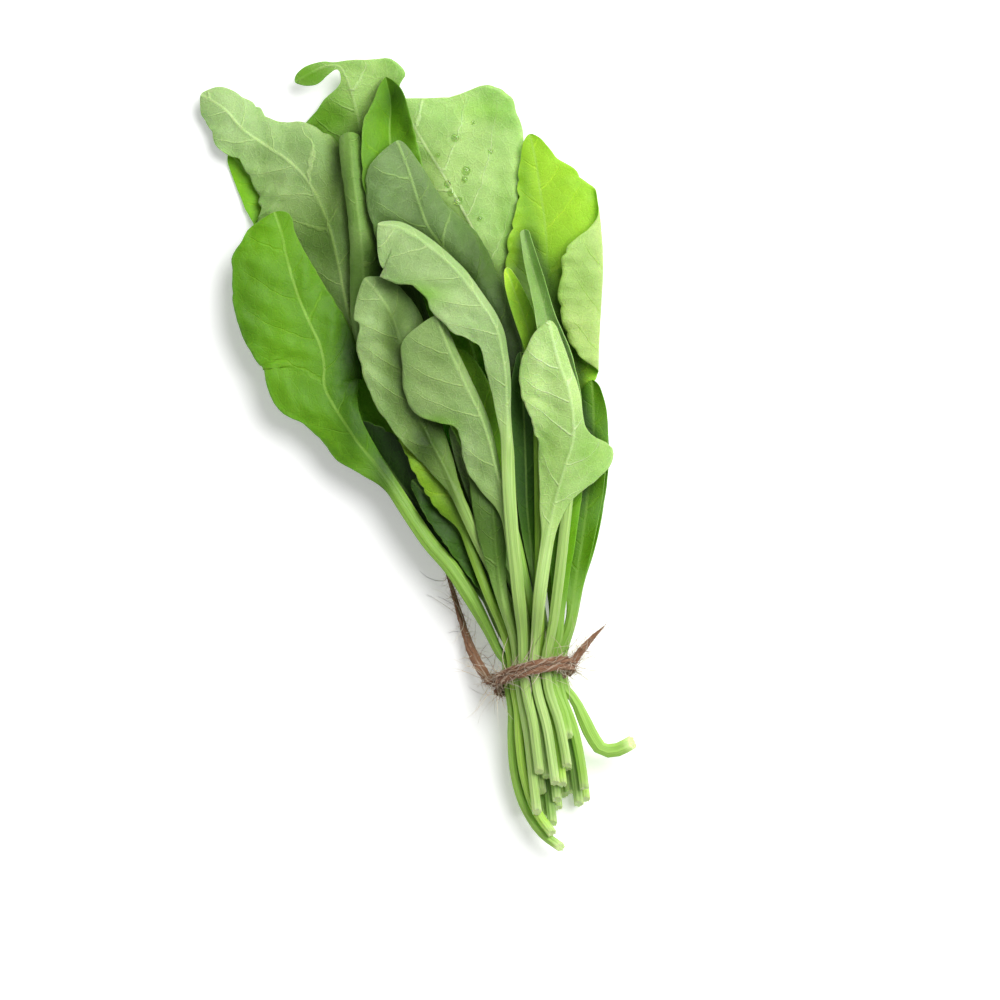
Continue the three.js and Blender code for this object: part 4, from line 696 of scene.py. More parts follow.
# The fine leaf: the same rule with a thin blade, a ridged midrib, veins that pucker it, and a torn cut end.
# FINE_HALF: half the thickness of the blade. STEM_STEP, BLADE_STEP: distance of the rings.
# VEIN_SLANT: how far a vein runs towards the tip for each millimetre outwards. VEIN_BEND: what is added to
# that at the margin. STEM_GLOW: added painted glow, as of light through them, on the stems above the tie.
# CROWD_SHADE: the greatest painted shade, as a share of a leaf's brightness, where its neighbours stand over
# it.
FINE_HALF = 0.17
LEAST_HEIGHT = 0.04
STEM_STEP, BLADE_STEP = 2.2, 0.72
TIP_RINGS = 9
VEIN_SEED = 7
VEIN_SLANT, VEIN_BEND = 0.62, 0.42
CUT_DEPTH = 0.5
STEM_GLOW = 0.3
CROWD_SHADE = 0.76


def ripple(rng, x, longest, count=4):
    """A smooth wavy value of about one along x, made of a few waves."""
    value = np.zeros(np.shape(x))
    for k in range(count):
        wave = longest / (1.7 ** k)
        value = value + np.sin(2 * math.pi * (x / wave + rng.random())) / (1.35 ** k)
    return value / 2.2


def fine_places(path, blade, tip):
    """Rings along the fine leaf: wider apart on the stem, close together at the round tip."""
    base = path.length - blade
    stem = np.linspace(0, base - 4, max(12, int((base - 4) / STEM_STEP)))
    body = np.arange(base - 3, base + blade - tip, BLADE_STEP)
    round_end = base + blade - tip + tip * np.sin(np.linspace(0, math.pi / 2, TIP_RINGS))
    return np.concatenate([stem, body, round_end])


def vein_phase(rng, u, v, width, spacing):
    """Counts the lateral veins: whole numbers lie on a vein."""
    side = np.where(u < 0, 0.45, 0.0)
    share = np.abs(u) / np.maximum(width, 1)
    start = v - VEIN_SLANT * np.abs(u) - VEIN_BEND * np.abs(u) * share
    drift = ripple(rng, start + 40 * side, 4.3 * spacing, 3) * 0.22
    return start / spacing + side + drift


def crinkle(rng, a, b, puff):
    """Small uneven dents of the blade, wider than they are deep."""
    value = 0
    for size, height in ((11, 0.55), (6, 0.3), (3.4, 0.14)):
        turn = rng.uniform(0, math.pi)
        c, d = a * math.cos(turn) + b * math.sin(turn), b * math.cos(turn) - a * math.sin(turn)
        first, second = rng.uniform(0, 2 * math.pi, 2)
        bent = 2 * math.pi * c / size + first + 1.3 * np.sin(2 * math.pi * d / (1.4 * size))
        value = value + height * np.sin(bent) * np.cos(2 * math.pi * d / (1.2 * size) + second)
    return puff * value


def painted_shading_at(look, points, around):
    """Brightness and glow at the points of a leaf: its own tone with painted shade and light, stems painted
    lighter below the tie and glowing above it, painted patches of shade and light, and painted shade where
    others stand over it.
    """
    down = -points[..., 1]
    stem = smoothstep(down, 15, 45)
    below_tie = smoothstep(down, 48, 62)
    # Stems take a brightness of their own, 0.85 above the tie and 1.2 below it; below the tie this is partly
    # their paler colour and partly painted light on the lower stems, which lie in shade.
    bright = lerp(look["tone_shade_glow"][0], lerp(0.85, 1.2, below_tie), stem)
    # Painted glow, as of light through them, on the stems above the tie.
    above_tie = smoothstep(down, 5, 25) * (1 - smoothstep(down, 50, 62))
    glow = lerp(look["tone_shade_glow"][1], 0.0, stem) + STEM_GLOW * above_tie
    # Painted shade: a leaf is darkened where the bunch around it stands higher than it does.
    depth = read_map(around, points) - points[..., 2]
    painted_crowd_shade = smoothstep(depth, 0.3, 8.5) * lift_share(points[..., 1])
    bright = bright * (1 - look.get("crowd", CROWD_SHADE) * painted_crowd_shade)
    # Patches of painted shade where a leaf lies in shade, and of painted light and painted glow where it is
    # lit or lit through.
    for x, y, wide, long, factor, added in look.get("light_shade_patches", ()):
        near = np.exp(-((points[..., 0] - x) / wide) ** 2 - ((points[..., 1] - y) / long) ** 2)
        bright = bright * (1 + (factor - 1) * near)
        glow = glow + added * near
    return bright, np.clip(glow, 0, 1)


def broad(width):
    """How much of its waves, teeth and swollen cells a blade of this half-width has."""
    return np.clip((width - 3) / 4, 0, 1)


def fine_half(leaf, look, half, at, rounded, reach, rng):
    """One half of the fine blade: offsets, angles, flat distances from the midrib and counts of veins."""
    past = at.past[:, None]
    width = blade_width(leaf, half, at.v)
    width = width + look.get("grow", (0, 0))[half] * broad(width)
    grown = broad(width)
    teeth, spacing = look.get("teeth", (0.25, 7))
    tooth = np.abs(np.mod(at.past / spacing + 0.35 * ripple(rng, at.past, 31) + 0.3 * half, 1) - 0.5) * 2
    width = width + grown * (0.16 * ripple(rng, at.past, 13) - teeth * (1 - tooth) ** 2)
    width = np.maximum(width * rounded, 0.12)
    x, z, angle = half_section(leaf, half, at.v, width, reach)
    u = (1 if half == RIGHT else -1) * reach * width[:, None]
    frill = look.get("frill", 0.24) * reach ** 5 * (ripple(rng, at.past, 9, 3) * grown)[:, None]
    phase = vein_phase(np.random.default_rng(VEIN_SEED), u, past, width[:, None], look["vein"])
    puff = look.get("puff", 0.15)
    swell = (0.5 - 0.5 * np.cos(2 * math.pi * phase)) * np.sin(math.pi * np.clip(reach, 0, 1)) ** 0.7
    swell = puff * swell * grown[:, None] * (-1 if look["up"] == "back" else 1)
    swell = swell + crinkle(rng, past + 0 * u, u, puff) * grown[:, None] * reach ** 0.5
    return x, z + frill + swell, angle, u, phase


def fine_leaf(leaf, look, path, lift):
    """Points over and under the fine leaf, with what its material reads at each of them."""
    rng = np.random.default_rng(hash_of(leaf["name"]))
    tip_width = (along(leaf["left"], 1) + along(leaf["right"], 1)) / 2
    tip = look.get("tip", float(max(tip_width * 1.5, 1.2)))
    at = Rings(leaf, path, fine_places(path, leaf["blade"], tip))
    end = np.clip((at.places - (path.length - tip)) / tip, 0, 1)
    rounded = np.sqrt(1 - 0.985 * end ** 2)
    cells = look.get("cells", 15)
    reach = (np.arange(cells) + 1) / cells
    turn = stem_turn(cells)
    tapered = (1 - at.v[:, None]) ** 2.2
    ridge_height = look.get("ridge", 0.75) * lerp(0.12, np.maximum(at.stem_height - FINE_HALF, 0.1), tapered)
    ridge_width = lerp(0.28, 0.5 * at.stem_width, tapered)
    ridge_over, ridge_under = (1, 0.25) if look["up"] == "back" else (0.12, 1)

    columns = []
    for half, sign in ((LEFT, -1), (RIGHT, 1)):
        x, z, angle, u, phase = fine_half(leaf, look, half, at, rounded, reach, rng)
        ridge = ridge_height * np.exp(-(u / ridge_width) ** 2) * rounded[:, None]
        thin = FINE_HALF * (1 - 0.6 * reach ** 6)
        stem_x, stem_z = at.stem_width * np.cos(turn), at.stem_height * np.sin(turn)
        columns.append((sign * lerp(stem_x, x, at.opened), z * at.opened, sign * angle * at.opened,
                        lerp(stem_z, thin + ridge * ridge_over, at.opened),
                        lerp(stem_z, thin + ridge * ridge_under, at.opened),
                        u, phase, np.broadcast_to(reach, x.shape)))
    none = 0 * at.opened
    crest = ridge_height * rounded[:, None]
    middle = (none, none, none, lerp(at.stem_height, FINE_HALF + crest * ridge_over, at.opened),
              lerp(at.stem_height, FINE_HALF + crest * ridge_under, at.opened),
              none, none + at.past[:, None] / look["vein"], none)
    x, z, angle, over, under, u, phase, share = from_left(columns[LEFT], middle, columns[RIGHT])
    around = np.linspace(math.pi, 0, x.shape[1])
    groove = 1 - 0.05 * (1 - np.cos(7 * around)) * (1 - at.opened)
    x, over, under = x * groove, over * groove, under * groove
    points = at.skin(x, z, angle, over, under)
    points[..., 2] += read_map(lift, points) * lift_share(points[..., 1])
    points[..., 2] = np.maximum(points[..., 2], LEAST_HEIGHT)

    def both(row):
        return np.concatenate([np.broadcast_to(row, x.shape), np.broadcast_to(row, x.shape)[:, ::-1]], axis=1)

    upper = np.repeat([1, 0] if look["up"] == "face" else [0, 1], x.shape[1])
    fields = {
        "leaf": field(points, both(lerp(x, u, at.opened)), both(at.past[:, None]), both(phase)),
        "part": field(points, 1 - both(smoothstep(at.past, -6, 14)[:, None]), upper, both(share)),
    }
    return cut_end(rng, points, fields, unit(at.p[1] - at.p[0]))


def cut_end(rng, points, fields, ahead):
    """Adds the ragged, slightly hollow cut face before the first ring."""
    centre = points[0].mean(axis=0)
    slant = rng.uniform(0.35, 1.0)
    for ring, share in ((0, slant), (1, 0.5 * slant)):
        points[ring] += ahead * (share * (points[ring][:, 2] - points[ring][:, 2].min()))[:, None]
    ragged = ripple(rng, np.arange(points.shape[1]) * 1.0, 11, 5)[:, None] * 0.2
    first = points[0] + ahead * ragged
    inner = centre + (points[0] - centre) * 0.8 + ahead * (0.12 + ragged * 0.6)
    deep = centre + (points[0] - centre) * 0.5 + ahead * CUT_DEPTH
    points = np.concatenate([deep[None], inner[None], first[None], points[1:]])
    out = {name: np.concatenate([rows[:1], rows[:1], rows]) for name, rows in fields.items()}
    out["cut"] = np.zeros(points.shape[:2])
    for ring, moist in enumerate((1, 1, 0.7, 0.15)):
        out["cut"][ring] = moist
    return points, out


def hash_of(name):
    """A number that is the same for a name in every run."""
    value = 17
    for letter in name:
        value = (value * 31 + ord(letter)) % 1000003
    return value


# Meshes
def field(points, *values):
    """Values for each point, side by side as a vector."""
    return np.stack([np.broadcast_to(value, points.shape[:-1]) for value in values], axis=-1)


def band_faces(first, rows, around):
    """Faces between rings of points, from the point with the number first on."""
    faces = []
    for r in range(rows - 1):
        for i in range(around):
            a, b = first + r * around + i, first + r * around + (i + 1) % around
            faces.append((a, b, b + around, a + around))
    return faces


def loft_faces(count, around):
    """Faces of a closed loft with a strip across each end."""
    faces = band_faces(0, count, around)
    for i in range(around // 2 - 1):
        quad = (i, i + 1, around - 2 - i, around - 1 - i)
        faces.append(tuple(reversed(quad)))
        faces.append(tuple((count - 1) * around + q for q in quad))
    return faces


def tube_faces(first, count, sides):
    """Faces of a tube whose points run the other way round, with one face at each end."""
    faces = [(a, d, c, b) for a, b, c, d in band_faces(first, count, sides)]
    faces.append(tuple(first + i for i in range(sides)))
    faces.append(tuple(first + (count - 1) * sides + i for i in reversed(range(sides))))
    return faces


def put_in_scene(name, data, location=(0, 0, 0)):
    """An object with this mesh, camera or light."""
    thing = bpy.data.objects.new(name, data)
    thing.location = location
    bpy.context.scene.collection.objects.link(thing)
    return thing


def make_mesh(name, points, faces, fields, material):
    """A smooth mesh, from points in millimetres, with its fields as point attributes."""
    mesh = bpy.data.meshes.new(name)
    mesh.from_pydata([tuple(q) for q in points.reshape(-1, 3) * MM], [], faces)
    mesh.polygons.foreach_set("use_smooth", [True] * len(mesh.polygons))
    for label, rows in fields.items():
        kind, value = ("FLOAT_VECTOR", "vector") if rows.ndim == points.ndim else ("FLOAT", "value")
        layer = mesh.attributes.new(label, kind, "POINT")
        layer.data.foreach_set(value, rows.astype(np.float32).ravel())
    mesh.materials.append(material)
    mesh.update()
    return put_in_scene(name, mesh)


def build_leaves(names, made):
    """Makes one mesh for each named leaf and puts it in the place of its solid."""
    for leaf in LEAVES:
        if leaf["name"] not in names:
            continue
        path, lift, _ = made.laid[leaf["name"]]
        look = LOOKS[leaf["name"]]
        points, fields = fine_leaf(leaf, look, path, lift)
        bright, glow = painted_shading_at(look, points, made.around)
        # The tone field: brightness with its painted shade and light, painted glow, and the spacing of the
        # veins.
        fields["tone"] = field(points, bright, glow, look["vein"])
        fields["rib"] = np.full(bright.shape, look.get("rib", 0.6))
        piece = make_mesh(leaf["name"].replace("leaf_", "arugula_"), points - made.shift,
                          loft_faces(*points.shape[:2]), fields, made.materials[leaf["finish"]])
        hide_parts(leaf["name"])
        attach(piece, "root")


# Node trees
class Nodes:
    """Short ways to add nodes to a tree. A value that is a socket is linked, and any other value is set."""

    def __init__(self, tree):
        self.tree = tree

    def fill(self, node, sockets):
        for name, value in sockets.items():
            if isinstance(value, bpy.types.NodeSocket):
                self.tree.links.new(value, node.inputs[name])
            else:
                node.inputs[name].default_value = value

    def put(self, kind, sockets, **settings):
        """Adds a node and returns its outputs."""
        node = self.tree.nodes.new("ShaderNode" + kind)
        for name, value in settings.items():
            setattr(node, name, value)
        self.fill(node, sockets)
        return node.outputs

    def math(self, operation, *values):
        return self.put("Math", dict(enumerate(values)), operation=operation)[0]

    def times(self, a, b):
        return self.math("MULTIPLY", a, b)

    def scaled(self, value, factor, added):
        return self.math("MULTIPLY_ADD", value, factor, added)

    def vector(self, operation, *values):
        return self.put("VectorMath", dict(enumerate(values)), operation=operation)[0]

    def split(self, vector):
        return self.put("SeparateXYZ", {"Vector": vector})

    def field(self, name, output="Vector"):
        """What a point attribute of the mesh holds."""
        return self.put("Attribute", {}, attribute_name=name)[output]

    def noise(self, vector, scale, detail, roughness=0.5):
        """A noise as a value and as a colour."""
        sockets = {"Vector": vector, "Scale": scale, "Detail": detail, "Roughness": roughness}
        return self.put("TexNoise", sockets)

    def ramp(self, value, low, high, start=0.0, end=1.0):
        """A smooth step from start to end between two values."""
        sockets = {"Value": value, "From Min": low, "From Max": high, "To Min": start, "To Max": end}
        return self.put("MapRange", sockets, interpolation_type="SMOOTHSTEP")["Result"]

    def blend(self, share, a, b):
        """Mixes two colours."""
        return self.put("Mix", {0: share, 6: a, 7: b}, data_type="RGBA")[2]

    def use(self, group, **sockets):
        """Places a node group."""
        named = {name.capitalize(): value for name, value in sockets.items()}
        return self.put("Group", named, node_tree=group)


def new_group(name, inputs, outputs):
    """A node group with named sockets. Returns its nodes, what it is given and its last node."""
    tree = bpy.data.node_groups.new(name, "ShaderNodeTree")
    for in_out, sockets in (("INPUT", inputs), ("OUTPUT", outputs)):
        for label, kind in sockets.items():
            tree.interface.new_socket(label, in_out=in_out, socket_type="NodeSocket" + kind)
    return Nodes(tree), tree.nodes.new("NodeGroupInput").outputs, tree.nodes.new("NodeGroupOutput")


def lateral_veins():
    """Lines at whole numbers of the vein phase, thinner and fainter towards the margin."""
    nodes, given, last = new_group(
        "Lateral Veins", {"Leaf": "Vector", "Reach": "Float", "Spacing": "Float", "Width": "Float"},
        {"Vein": "Float", "Halo": "Float"})
    wobble = nodes.noise(given["Leaf"], 0.22, 2.0)[0]
    phase = nodes.math("ADD", nodes.split(given["Leaf"])["Z"], nodes.scaled(wobble, 0.22, -0.11))
    turn = nodes.math("FRACT", nodes.math("ADD", phase, 0.5))
    away = nodes.times(nodes.math("ABSOLUTE", nodes.math("SUBTRACT", turn, 0.5)), given["Spacing"])
    narrow = nodes.times(given["Width"], nodes.scaled(given["Reach"], -0.7, 1.0))
    share = nodes.math("DIVIDE", away, narrow)
    fade = nodes.ramp(given["Reach"], 0.72, 0.98, 1.0, 0.0)
    nodes.fill(last, {"Vein": nodes.times(nodes.ramp(share, 0.25, 1.0, 1.0, 0.0), fade),
                      "Halo": nodes.times(nodes.ramp(share, 0.0, 5.0, 1.0, 0.0), fade)})
    return nodes.tree


def vein_network():
    """The net of small veins between the lateral ones, on the flat coordinates of the blade."""
    nodes, given, last = new_group("Vein Network", {"Leaf": "Vector", "Cell": "Float", "Line": "Float"},
                                   {"Net": "Float"})
    flat = nodes.vector("MULTIPLY", given["Leaf"], (1, 1, 0))
    warped = nodes.vector("MULTIPLY_ADD", nodes.noise(flat, 0.8, 2.0)[1], (1.1, 1.1, 0), flat)
    scale = nodes.math("DIVIDE", 1.0, given["Cell"])
    edge = nodes.put("TexVoronoi", {"Vector": warped, "Scale": scale}, feature="DISTANCE_TO_EDGE")["Distance"]
    nodes.fill(last, {"Net": nodes.ramp(edge, 0.0, given["Line"], 1.0, 0.0)})
    return nodes.tree


def leaf_tissue():
    """Slow drifts of colour, the fine grain of the skin and long streaks of the stem."""
    nodes, given, last = new_group("Leaf Tissue", {"Leaf": "Vector"},
                                   {"Drift": "Float", "Grain": "Float", "Streak": "Float"})
    drift = nodes.noise(given["Leaf"], 0.055, 3.0, 0.55)[0]
    streak = nodes.noise(nodes.vector("MULTIPLY", given["Leaf"], (2.6, 0.05, 0.0)), 1.0, 3.0)[0]
    nodes.fill(last, {"Drift": nodes.ramp(drift, 0.3, 0.7), "Grain": nodes.noise(given["Leaf"], 3.2, 2.0)[0],
                      "Streak": nodes.ramp(streak, 0.3, 0.7)})
    return nodes.tree


# Colours and materials
FINISHES = ("sage", "bright", "pale", "lime", "dark")
WHITE = (1.0, 1.0, 1.0, 1.0)


def srgb(r, g, b):
    """A colour given in steps of 255 as light values."""
    def light(c):
        c /= 255
        return c / 12.92 if c <= 0.04045 else ((c + 0.055) / 1.055) ** 2.4
    return (light(r), light(g), light(b), 1.0)


def shade_of(colour, *amounts):
    """A colour with its red, green and blue each multiplied."""
    return tuple(c * a for c, a in zip(colour, amounts)) + (1.0,)


def new_material(name):
    """A new material, its nodes and its shader."""
    material = bpy.data.materials.new(name)
    material.use_nodes = True
    return material, Nodes(material.node_tree), material.node_tree.nodes["Principled BSDF"]


def leaf_material(finish, settings, groups):
    """The skin of a leaf: two sides, veins, a net of small veins, a pale midrib, stem and cut end, with a
    painted glow of light through the blade and a brightness that holds painted shade and painted light.
    """
    face, back, stem = (tuple(getattr(settings, finish + "_" + part)) for part in ("face", "back", "stem"))
    vein = shade_of(stem, 1.22, 1.14, 1.55)
    material, nodes, shader = new_material("leaf " + finish)
    leaf = nodes.field("leaf")
    part, tone = nodes.split(nodes.field("part")), nodes.split(nodes.field("tone"))
    is_stem, upper_side, reach = part["X"], part["Y"], part["Z"]
    veins = nodes.use(groups["veins"], leaf=leaf, reach=reach, spacing=tone["Z"], width=settings.vein_width)
    large = nodes.use(groups["net"], leaf=leaf, cell=2.6, line=0.07)["Net"]
    small = nodes.use(groups["net"], leaf=leaf, cell=0.95, line=0.12)["Net"]
    tissue = nodes.use(groups["tissue"], leaf=leaf)

    upper = nodes.blend(tissue["Drift"], face, shade_of(face, 0.66, 0.74, 0.72))
    under = nodes.blend(tissue["Drift"], back, shade_of(back, 0.6, 0.72, 0.52))
    blade = nodes.blend(upper_side, under, upper)
    line = nodes.blend(upper_side, vein, shade_of(face, 1.3, 1.18, 1.5))
    blade = nodes.blend(nodes.math("ADD", nodes.times(large, 0.12), nodes.times(small, 0.06)), blade, line)
    blade = nodes.blend(nodes.times(veins["Halo"], 0.1), blade, line)
    blade = nodes.blend(nodes.times(veins["Vein"], 0.66), blade, line)
    across = nodes.math("ABSOLUTE", nodes.split(leaf)["X"])
    rib = nodes.ramp(nodes.math("DIVIDE", across, nodes.scaled(is_stem, 0.9, 0.42)), 0.35, 1.15, 1.0, 0.0)
    rib = nodes.times(nodes.times(rib, nodes.field("rib", "Fac")), nodes.scaled(upper_side, 0.35, 0.65))
    blade = nodes.blend(rib, blade, nodes.blend(upper_side, vein, stem))
    blade = nodes.blend(nodes.ramp(reach, 0.93, 1.0, 0.0, 0.3), blade, vein)
    speck = nodes.ramp(tissue["Grain"], 0.35, 0.65, 0.9, 1.06)
    blade = nodes.put("VectorMath", {0: blade, "Scale": speck}, operation="SCALE")[0]
    # Painted glow: the green of light shining through the blade, mixed in where the tone field asks for it.
    blade = nodes.blend(nodes.times(tone["Y"], 0.85), blade, tuple(settings.glow))
    stalk = nodes.blend(nodes.times(tissue["Streak"], 0.6), shade_of(stem, 1.06, 1.03, 1.1),
                        shade_of(stem, 0.55, 0.68, 0.45))
    whole = nodes.blend(is_stem, blade, stalk)
    whole = nodes.blend(nodes.field("cut", "Fac"), whole, tuple(settings.cut_end))
    # Painted shade and light: the colour is multiplied by the brightness of the tone field, the leaf's own
    # tone with its painted shade and light.
    powers = (nodes.math("POWER", tone["X"], power) for power in (1.1, 0.92, 1.6))
    shade = nodes.put("CombineXYZ", dict(zip("XYZ", powers)))[0]

    rough = nodes.scaled(is_stem, -0.16, nodes.scaled(tissue["Grain"], 0.14, 0.5))
    height = nodes.scaled(veins["Vein"], 1.0, nodes.times(large, 0.32))
    height = nodes.math("ADD", height, nodes.times(small, 0.14))
    height = nodes.times(height, nodes.scaled(upper_side, -1.6, 1.0))
    height = nodes.times(height, nodes.math("SUBTRACT", 1.0, is_stem))
    height = nodes.scaled(tissue["Grain"], 0.22, height)
    height = nodes.scaled(nodes.times(tissue["Streak"], is_stem), 0.5, height)
    nodes.fill(shader, {
        "Base Color": nodes.vector("MULTIPLY", whole, shade),
        "Roughness": rough,
        "Normal": nodes.put("Bump", {"Height": height, "Strength": 0.8, "Distance": 0.2 * MM})[0],
        "Subsurface Weight": 0.5,
        "Subsurface Radius": (0.6, 1.0, 0.25),
        "Subsurface Scale": 0.6 * MM,
        "Specular IOR Level": 0.26,
    })
    return material


def jute_material(settings):
    """Twisted jute: streaks of brown along each strand, darker in the grooves, with pale loose fibres."""
    material, nodes, shader = new_material("jute twine")
    strand = nodes.field("strand")
    streak = nodes.noise(nodes.vector("MULTIPLY", strand, (0.35, 5.0, 3.0)), 1.4, 4.0, 0.65)[0]
    brown = nodes.blend(nodes.ramp(streak, 0.3, 0.72), tuple(settings.groove), tuple(settings.fibre))
    nodes.fill(shader, {
        "Base Color": nodes.blend(nodes.split(strand)["Z"], brown, tuple(settings.loose)),
        "Roughness": 0.85,
        "Normal": nodes.put("Bump", {"Height": streak, "Strength": 1.0, "Distance": 0.25 * MM})[0],
    })
    return material


def water_material():
    """Clear drops of water, through which the leaf shows."""
    material, nodes, shader = new_material("water drop")
    haze = nodes.noise(nodes.put("TexCoord", {})["Object"], 900.0, 1.0)[0]
    nodes.fill(shader, {
        "Base Color": nodes.blend(haze, srgb(214, 238, 176), srgb(236, 250, 206)),
        "Roughness": 0.03,
        "Transmission Weight": 1.0,
        "IOR": 1.33,
        "Alpha": 0.7,
    })
    return material


def floor_material(settings):
    """A pale matt surface with a hardly visible mottle, which also glows evenly by itself and so lifts the
    shadows cast on it.
    """
    material, nodes, shader = new_material("pale surface")
    mottle = nodes.noise(nodes.put("TexCoord", {})["Object"], 9.0, 3.0)[0]
    darker = shade_of(settings.surface, 0.985, 0.985, 0.985)
    nodes.fill(shader, {
        "Base Color": nodes.blend(mottle, tuple(settings.surface), darker),
        "Roughness": 0.9,
        "Emission Color": WHITE,
        "Emission Strength": settings.surface_glow,
    })
    return material


# The twine: a bundle of many fine strands, wound twice round the stems, with a knot and two ends.
# TURN_STEP: how far one turn lies from the next. TWINE_CLEAR: room between the stems and its middle line.
# TWINE_TOP: the height that no fibre passes. LONG_FIBRES: their share among the loose fibres.
TWINE_SEED = 21
TURNS = 2.08
TURN_STEP = 1.7
TWINE_CLEAR = 0.7
TWINE_TOP = TIE_MIDDLE_Z + TIE_HALF_HEIGHT + 2.6
KNOT = (23.6, -56, 7.6)
LEFT_END = ((24.4, -56.6, 8.6), (22.6, -55.4, 7), (19.6, -51.0, 5.6), (17.4, -46, 4.2), (15.6, -40.5, 3),
            (13.6, -34, 2.1), (11.6, -28, 1.6))
RIGHT_END = ((40.6, -54.2, 12), (42.4, -51.8, 12.4), (45, -48, 12.6), (48, -44.5, 12.7), (51.3, -41.2, 12.8))
STRAND_SIDES, STRAND_STEP = 6, 0.5
FIBRE_SIDES, FIBRE_POINTS = 3, 8
LONG_FIBRES = 0.14


def twine_routes(settings):
    """The winding, the knot and the two ends: a middle line, radii, flatness and length of twist."""
    winding = []
    for share in np.linspace(0, 1, 150):
        a = math.radians(205) - 2 * math.pi * TURNS * share
        slip = TURN_STEP * (share * TURNS - TURNS / 2)
        winding.append((TIE_X + (TIE_HALF_WIDTH + TWINE_CLEAR) * math.cos(a),
                        TIE_Y + 2.4 * math.cos(a) + 1.8 * math.sin(a) - slip,
                        TIE_MIDDLE_Z + (TIE_HALF_HEIGHT + TWINE_CLEAR) * math.sin(a)))
    knot = []
    for share in np.linspace(0, 1, 40):
        a = math.radians(250) + 2 * math.pi * 1.2 * share
        knot.append((KNOT[0] + 1.5 * math.cos(a) - 1.2 * share, KNOT[1] + 1.6 * share + 0.5 * math.cos(a),
                     KNOT[2] + 2.1 * math.sin(a)))
    thick, twist = settings.thickness / 2, settings.twist
    return ((winding, [thick, thick], 0.85, twist),
            (knot, [0.75 * thick, 0.7 * thick], 1, twist),
            (LEFT_END, [share * thick for share in (0.8, 1.35, 1.5, 1.2, 0.95, 0.7, 0.35)], 0.55, 6 * twist),
            (RIGHT_END, [share * thick for share in (0.8, 1.05, 1, 0.6)] + [0.04], 0.5, 6 * twist))


def radius_at(s, path, radii):
    return np.interp(s, np.linspace(0, path.length, len(radii)), radii)


def strand_tube(path, radii, flat, twist, rng):
    """One strand of the bundle, at its own place in the section, which slowly turns along the twine."""
    s = np.arange(0, path.length, STRAND_STEP)
    p, up, side, _ = path.at(s)
    whole = radius_at(s, path, radii)
    place = math.sqrt(rng.uniform(0.12, 1))
    angle = 2 * math.pi * (s / twist + rng.random()) + 0.35 * ripple(rng, s, 9, 2)
    away = (place * 0.82 + 0.07 * ripple(rng, s, 5, 3)) * whole
    middle = p + side * (away * np.cos(angle))[:, None] + up * (flat * away * np.sin(angle))[:, None]
    around = clock(STRAND_SIDES)
    points = Path(middle).tube(whole * rng.uniform(0.16, 0.3) * (1 + 0.2 * ripple(rng, s, 4, 3)), around)
    return points, field(points, s[:, None], around + rng.uniform(0, 60), max(0.0, rng.uniform(-0.5, 0.35)))


def fibre(rng, start, along_twine, out, length, radius):
    """A loose fibre: a thin bent hair that leaves the twine."""
    heading = unit(along_twine * rng.uniform(0.3, 1.3) * rng.choice((-1, 1)) + out * rng.uniform(0.15, 0.9)
                   + rng.standard_normal(3) * 0.25)
    bend = rng.standard_normal(3) * 0.22
    points = [start]
    for _ in range(FIBRE_POINTS - 1):
        heading = unit(heading + bend + rng.standard_normal(3) * 0.12 + np.array([0, 0, -0.05]))
        points.append(points[-1] + heading * length / (FIBRE_POINTS - 1))
    route = Path(smooth_route(points, length))
    rings = route.tube(np.linspace(1, 0.35, len(route.p)) * radius, clock(FIBRE_SIDES))
    rings[..., 2] = np.clip(rings[..., 2], 0.06, TWINE_TOP)
    pale = rng.uniform(0.45, 1.0) if length > 5 else rng.uniform(0.1, 0.8)
    return rings, field(rings, rng.uniform(0, 50), rng.uniform(0, 6), pale)


def build_twine(settings, shift):
    """Winds the twine as one mesh, with its strands and loose fibres."""
    rng = np.random.default_rng(TWINE_SEED)
    points, strands, faces = [], [], []

    def add(rings, strand):
        faces.extend(tube_faces(sum(len(q) for q in points), *rings.shape[:2]))
        points.append(rings.reshape(-1, 3))
        strands.append(strand.reshape(-1, 3))

    for route, radii, flat, twist in twine_routes(settings):
        path = Path(smooth_route(route, 0.4))
        for _ in range(settings.strands):
            add(*strand_tube(path, radii, flat, twist, rng))
        for _ in range(int(settings.fibres * path.length / 100)):
            s = rng.uniform(0, path.length)
            p, up, side, ahead = path.at(s)
            angle = rng.uniform(0, 2 * math.pi)
            out = side * math.cos(angle) + up * math.sin(angle) * flat
            long = rng.random() < LONG_FIBRES
            length = rng.uniform(6, 15) if long else rng.uniform(1, 4)
            start = p + out * radius_at(s, path, radii) * 0.9
            add(*fibre(rng, start, ahead, out, length, rng.uniform(0.045, 0.08) + 0.02 * long))
    piece = make_mesh("jute_twine", np.concatenate(points) - shift, faces,
                      {"strand": np.concatenate(strands)}, jute_material(settings))
    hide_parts("twine_tie")
    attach(piece, "root")


# Drops of water: places in millimetres on the plan, and their half-widths.
# DROP_HEIGHT: how far they stand out of the leaf, as a share of the half-width. DROP_ROOT: how far they
# go into it, as a share of their height. ABOVE_ALL: a height in metres from which the leaf is looked for.
DROPS = ((13.75, 80.75, 1.05), (16.5, 72.5, 1.2), (16.1, 70.3, 0.85), (11.8, 69.2, 0.95), (12.6, 67, 0.9),
         (14.6, 65, 1.1), (19.8, 60.5, 0.65), (9.4, 76.5, 0.65), (22.6, 77.4, 0.7), (18.2, 84.6, 0.6))
DROP_SIDES, DROP_RINGS = 18, 7
DROP_HEIGHT = 0.48
DROP_ROOT = 0.25
ABOVE_ALL = 0.2


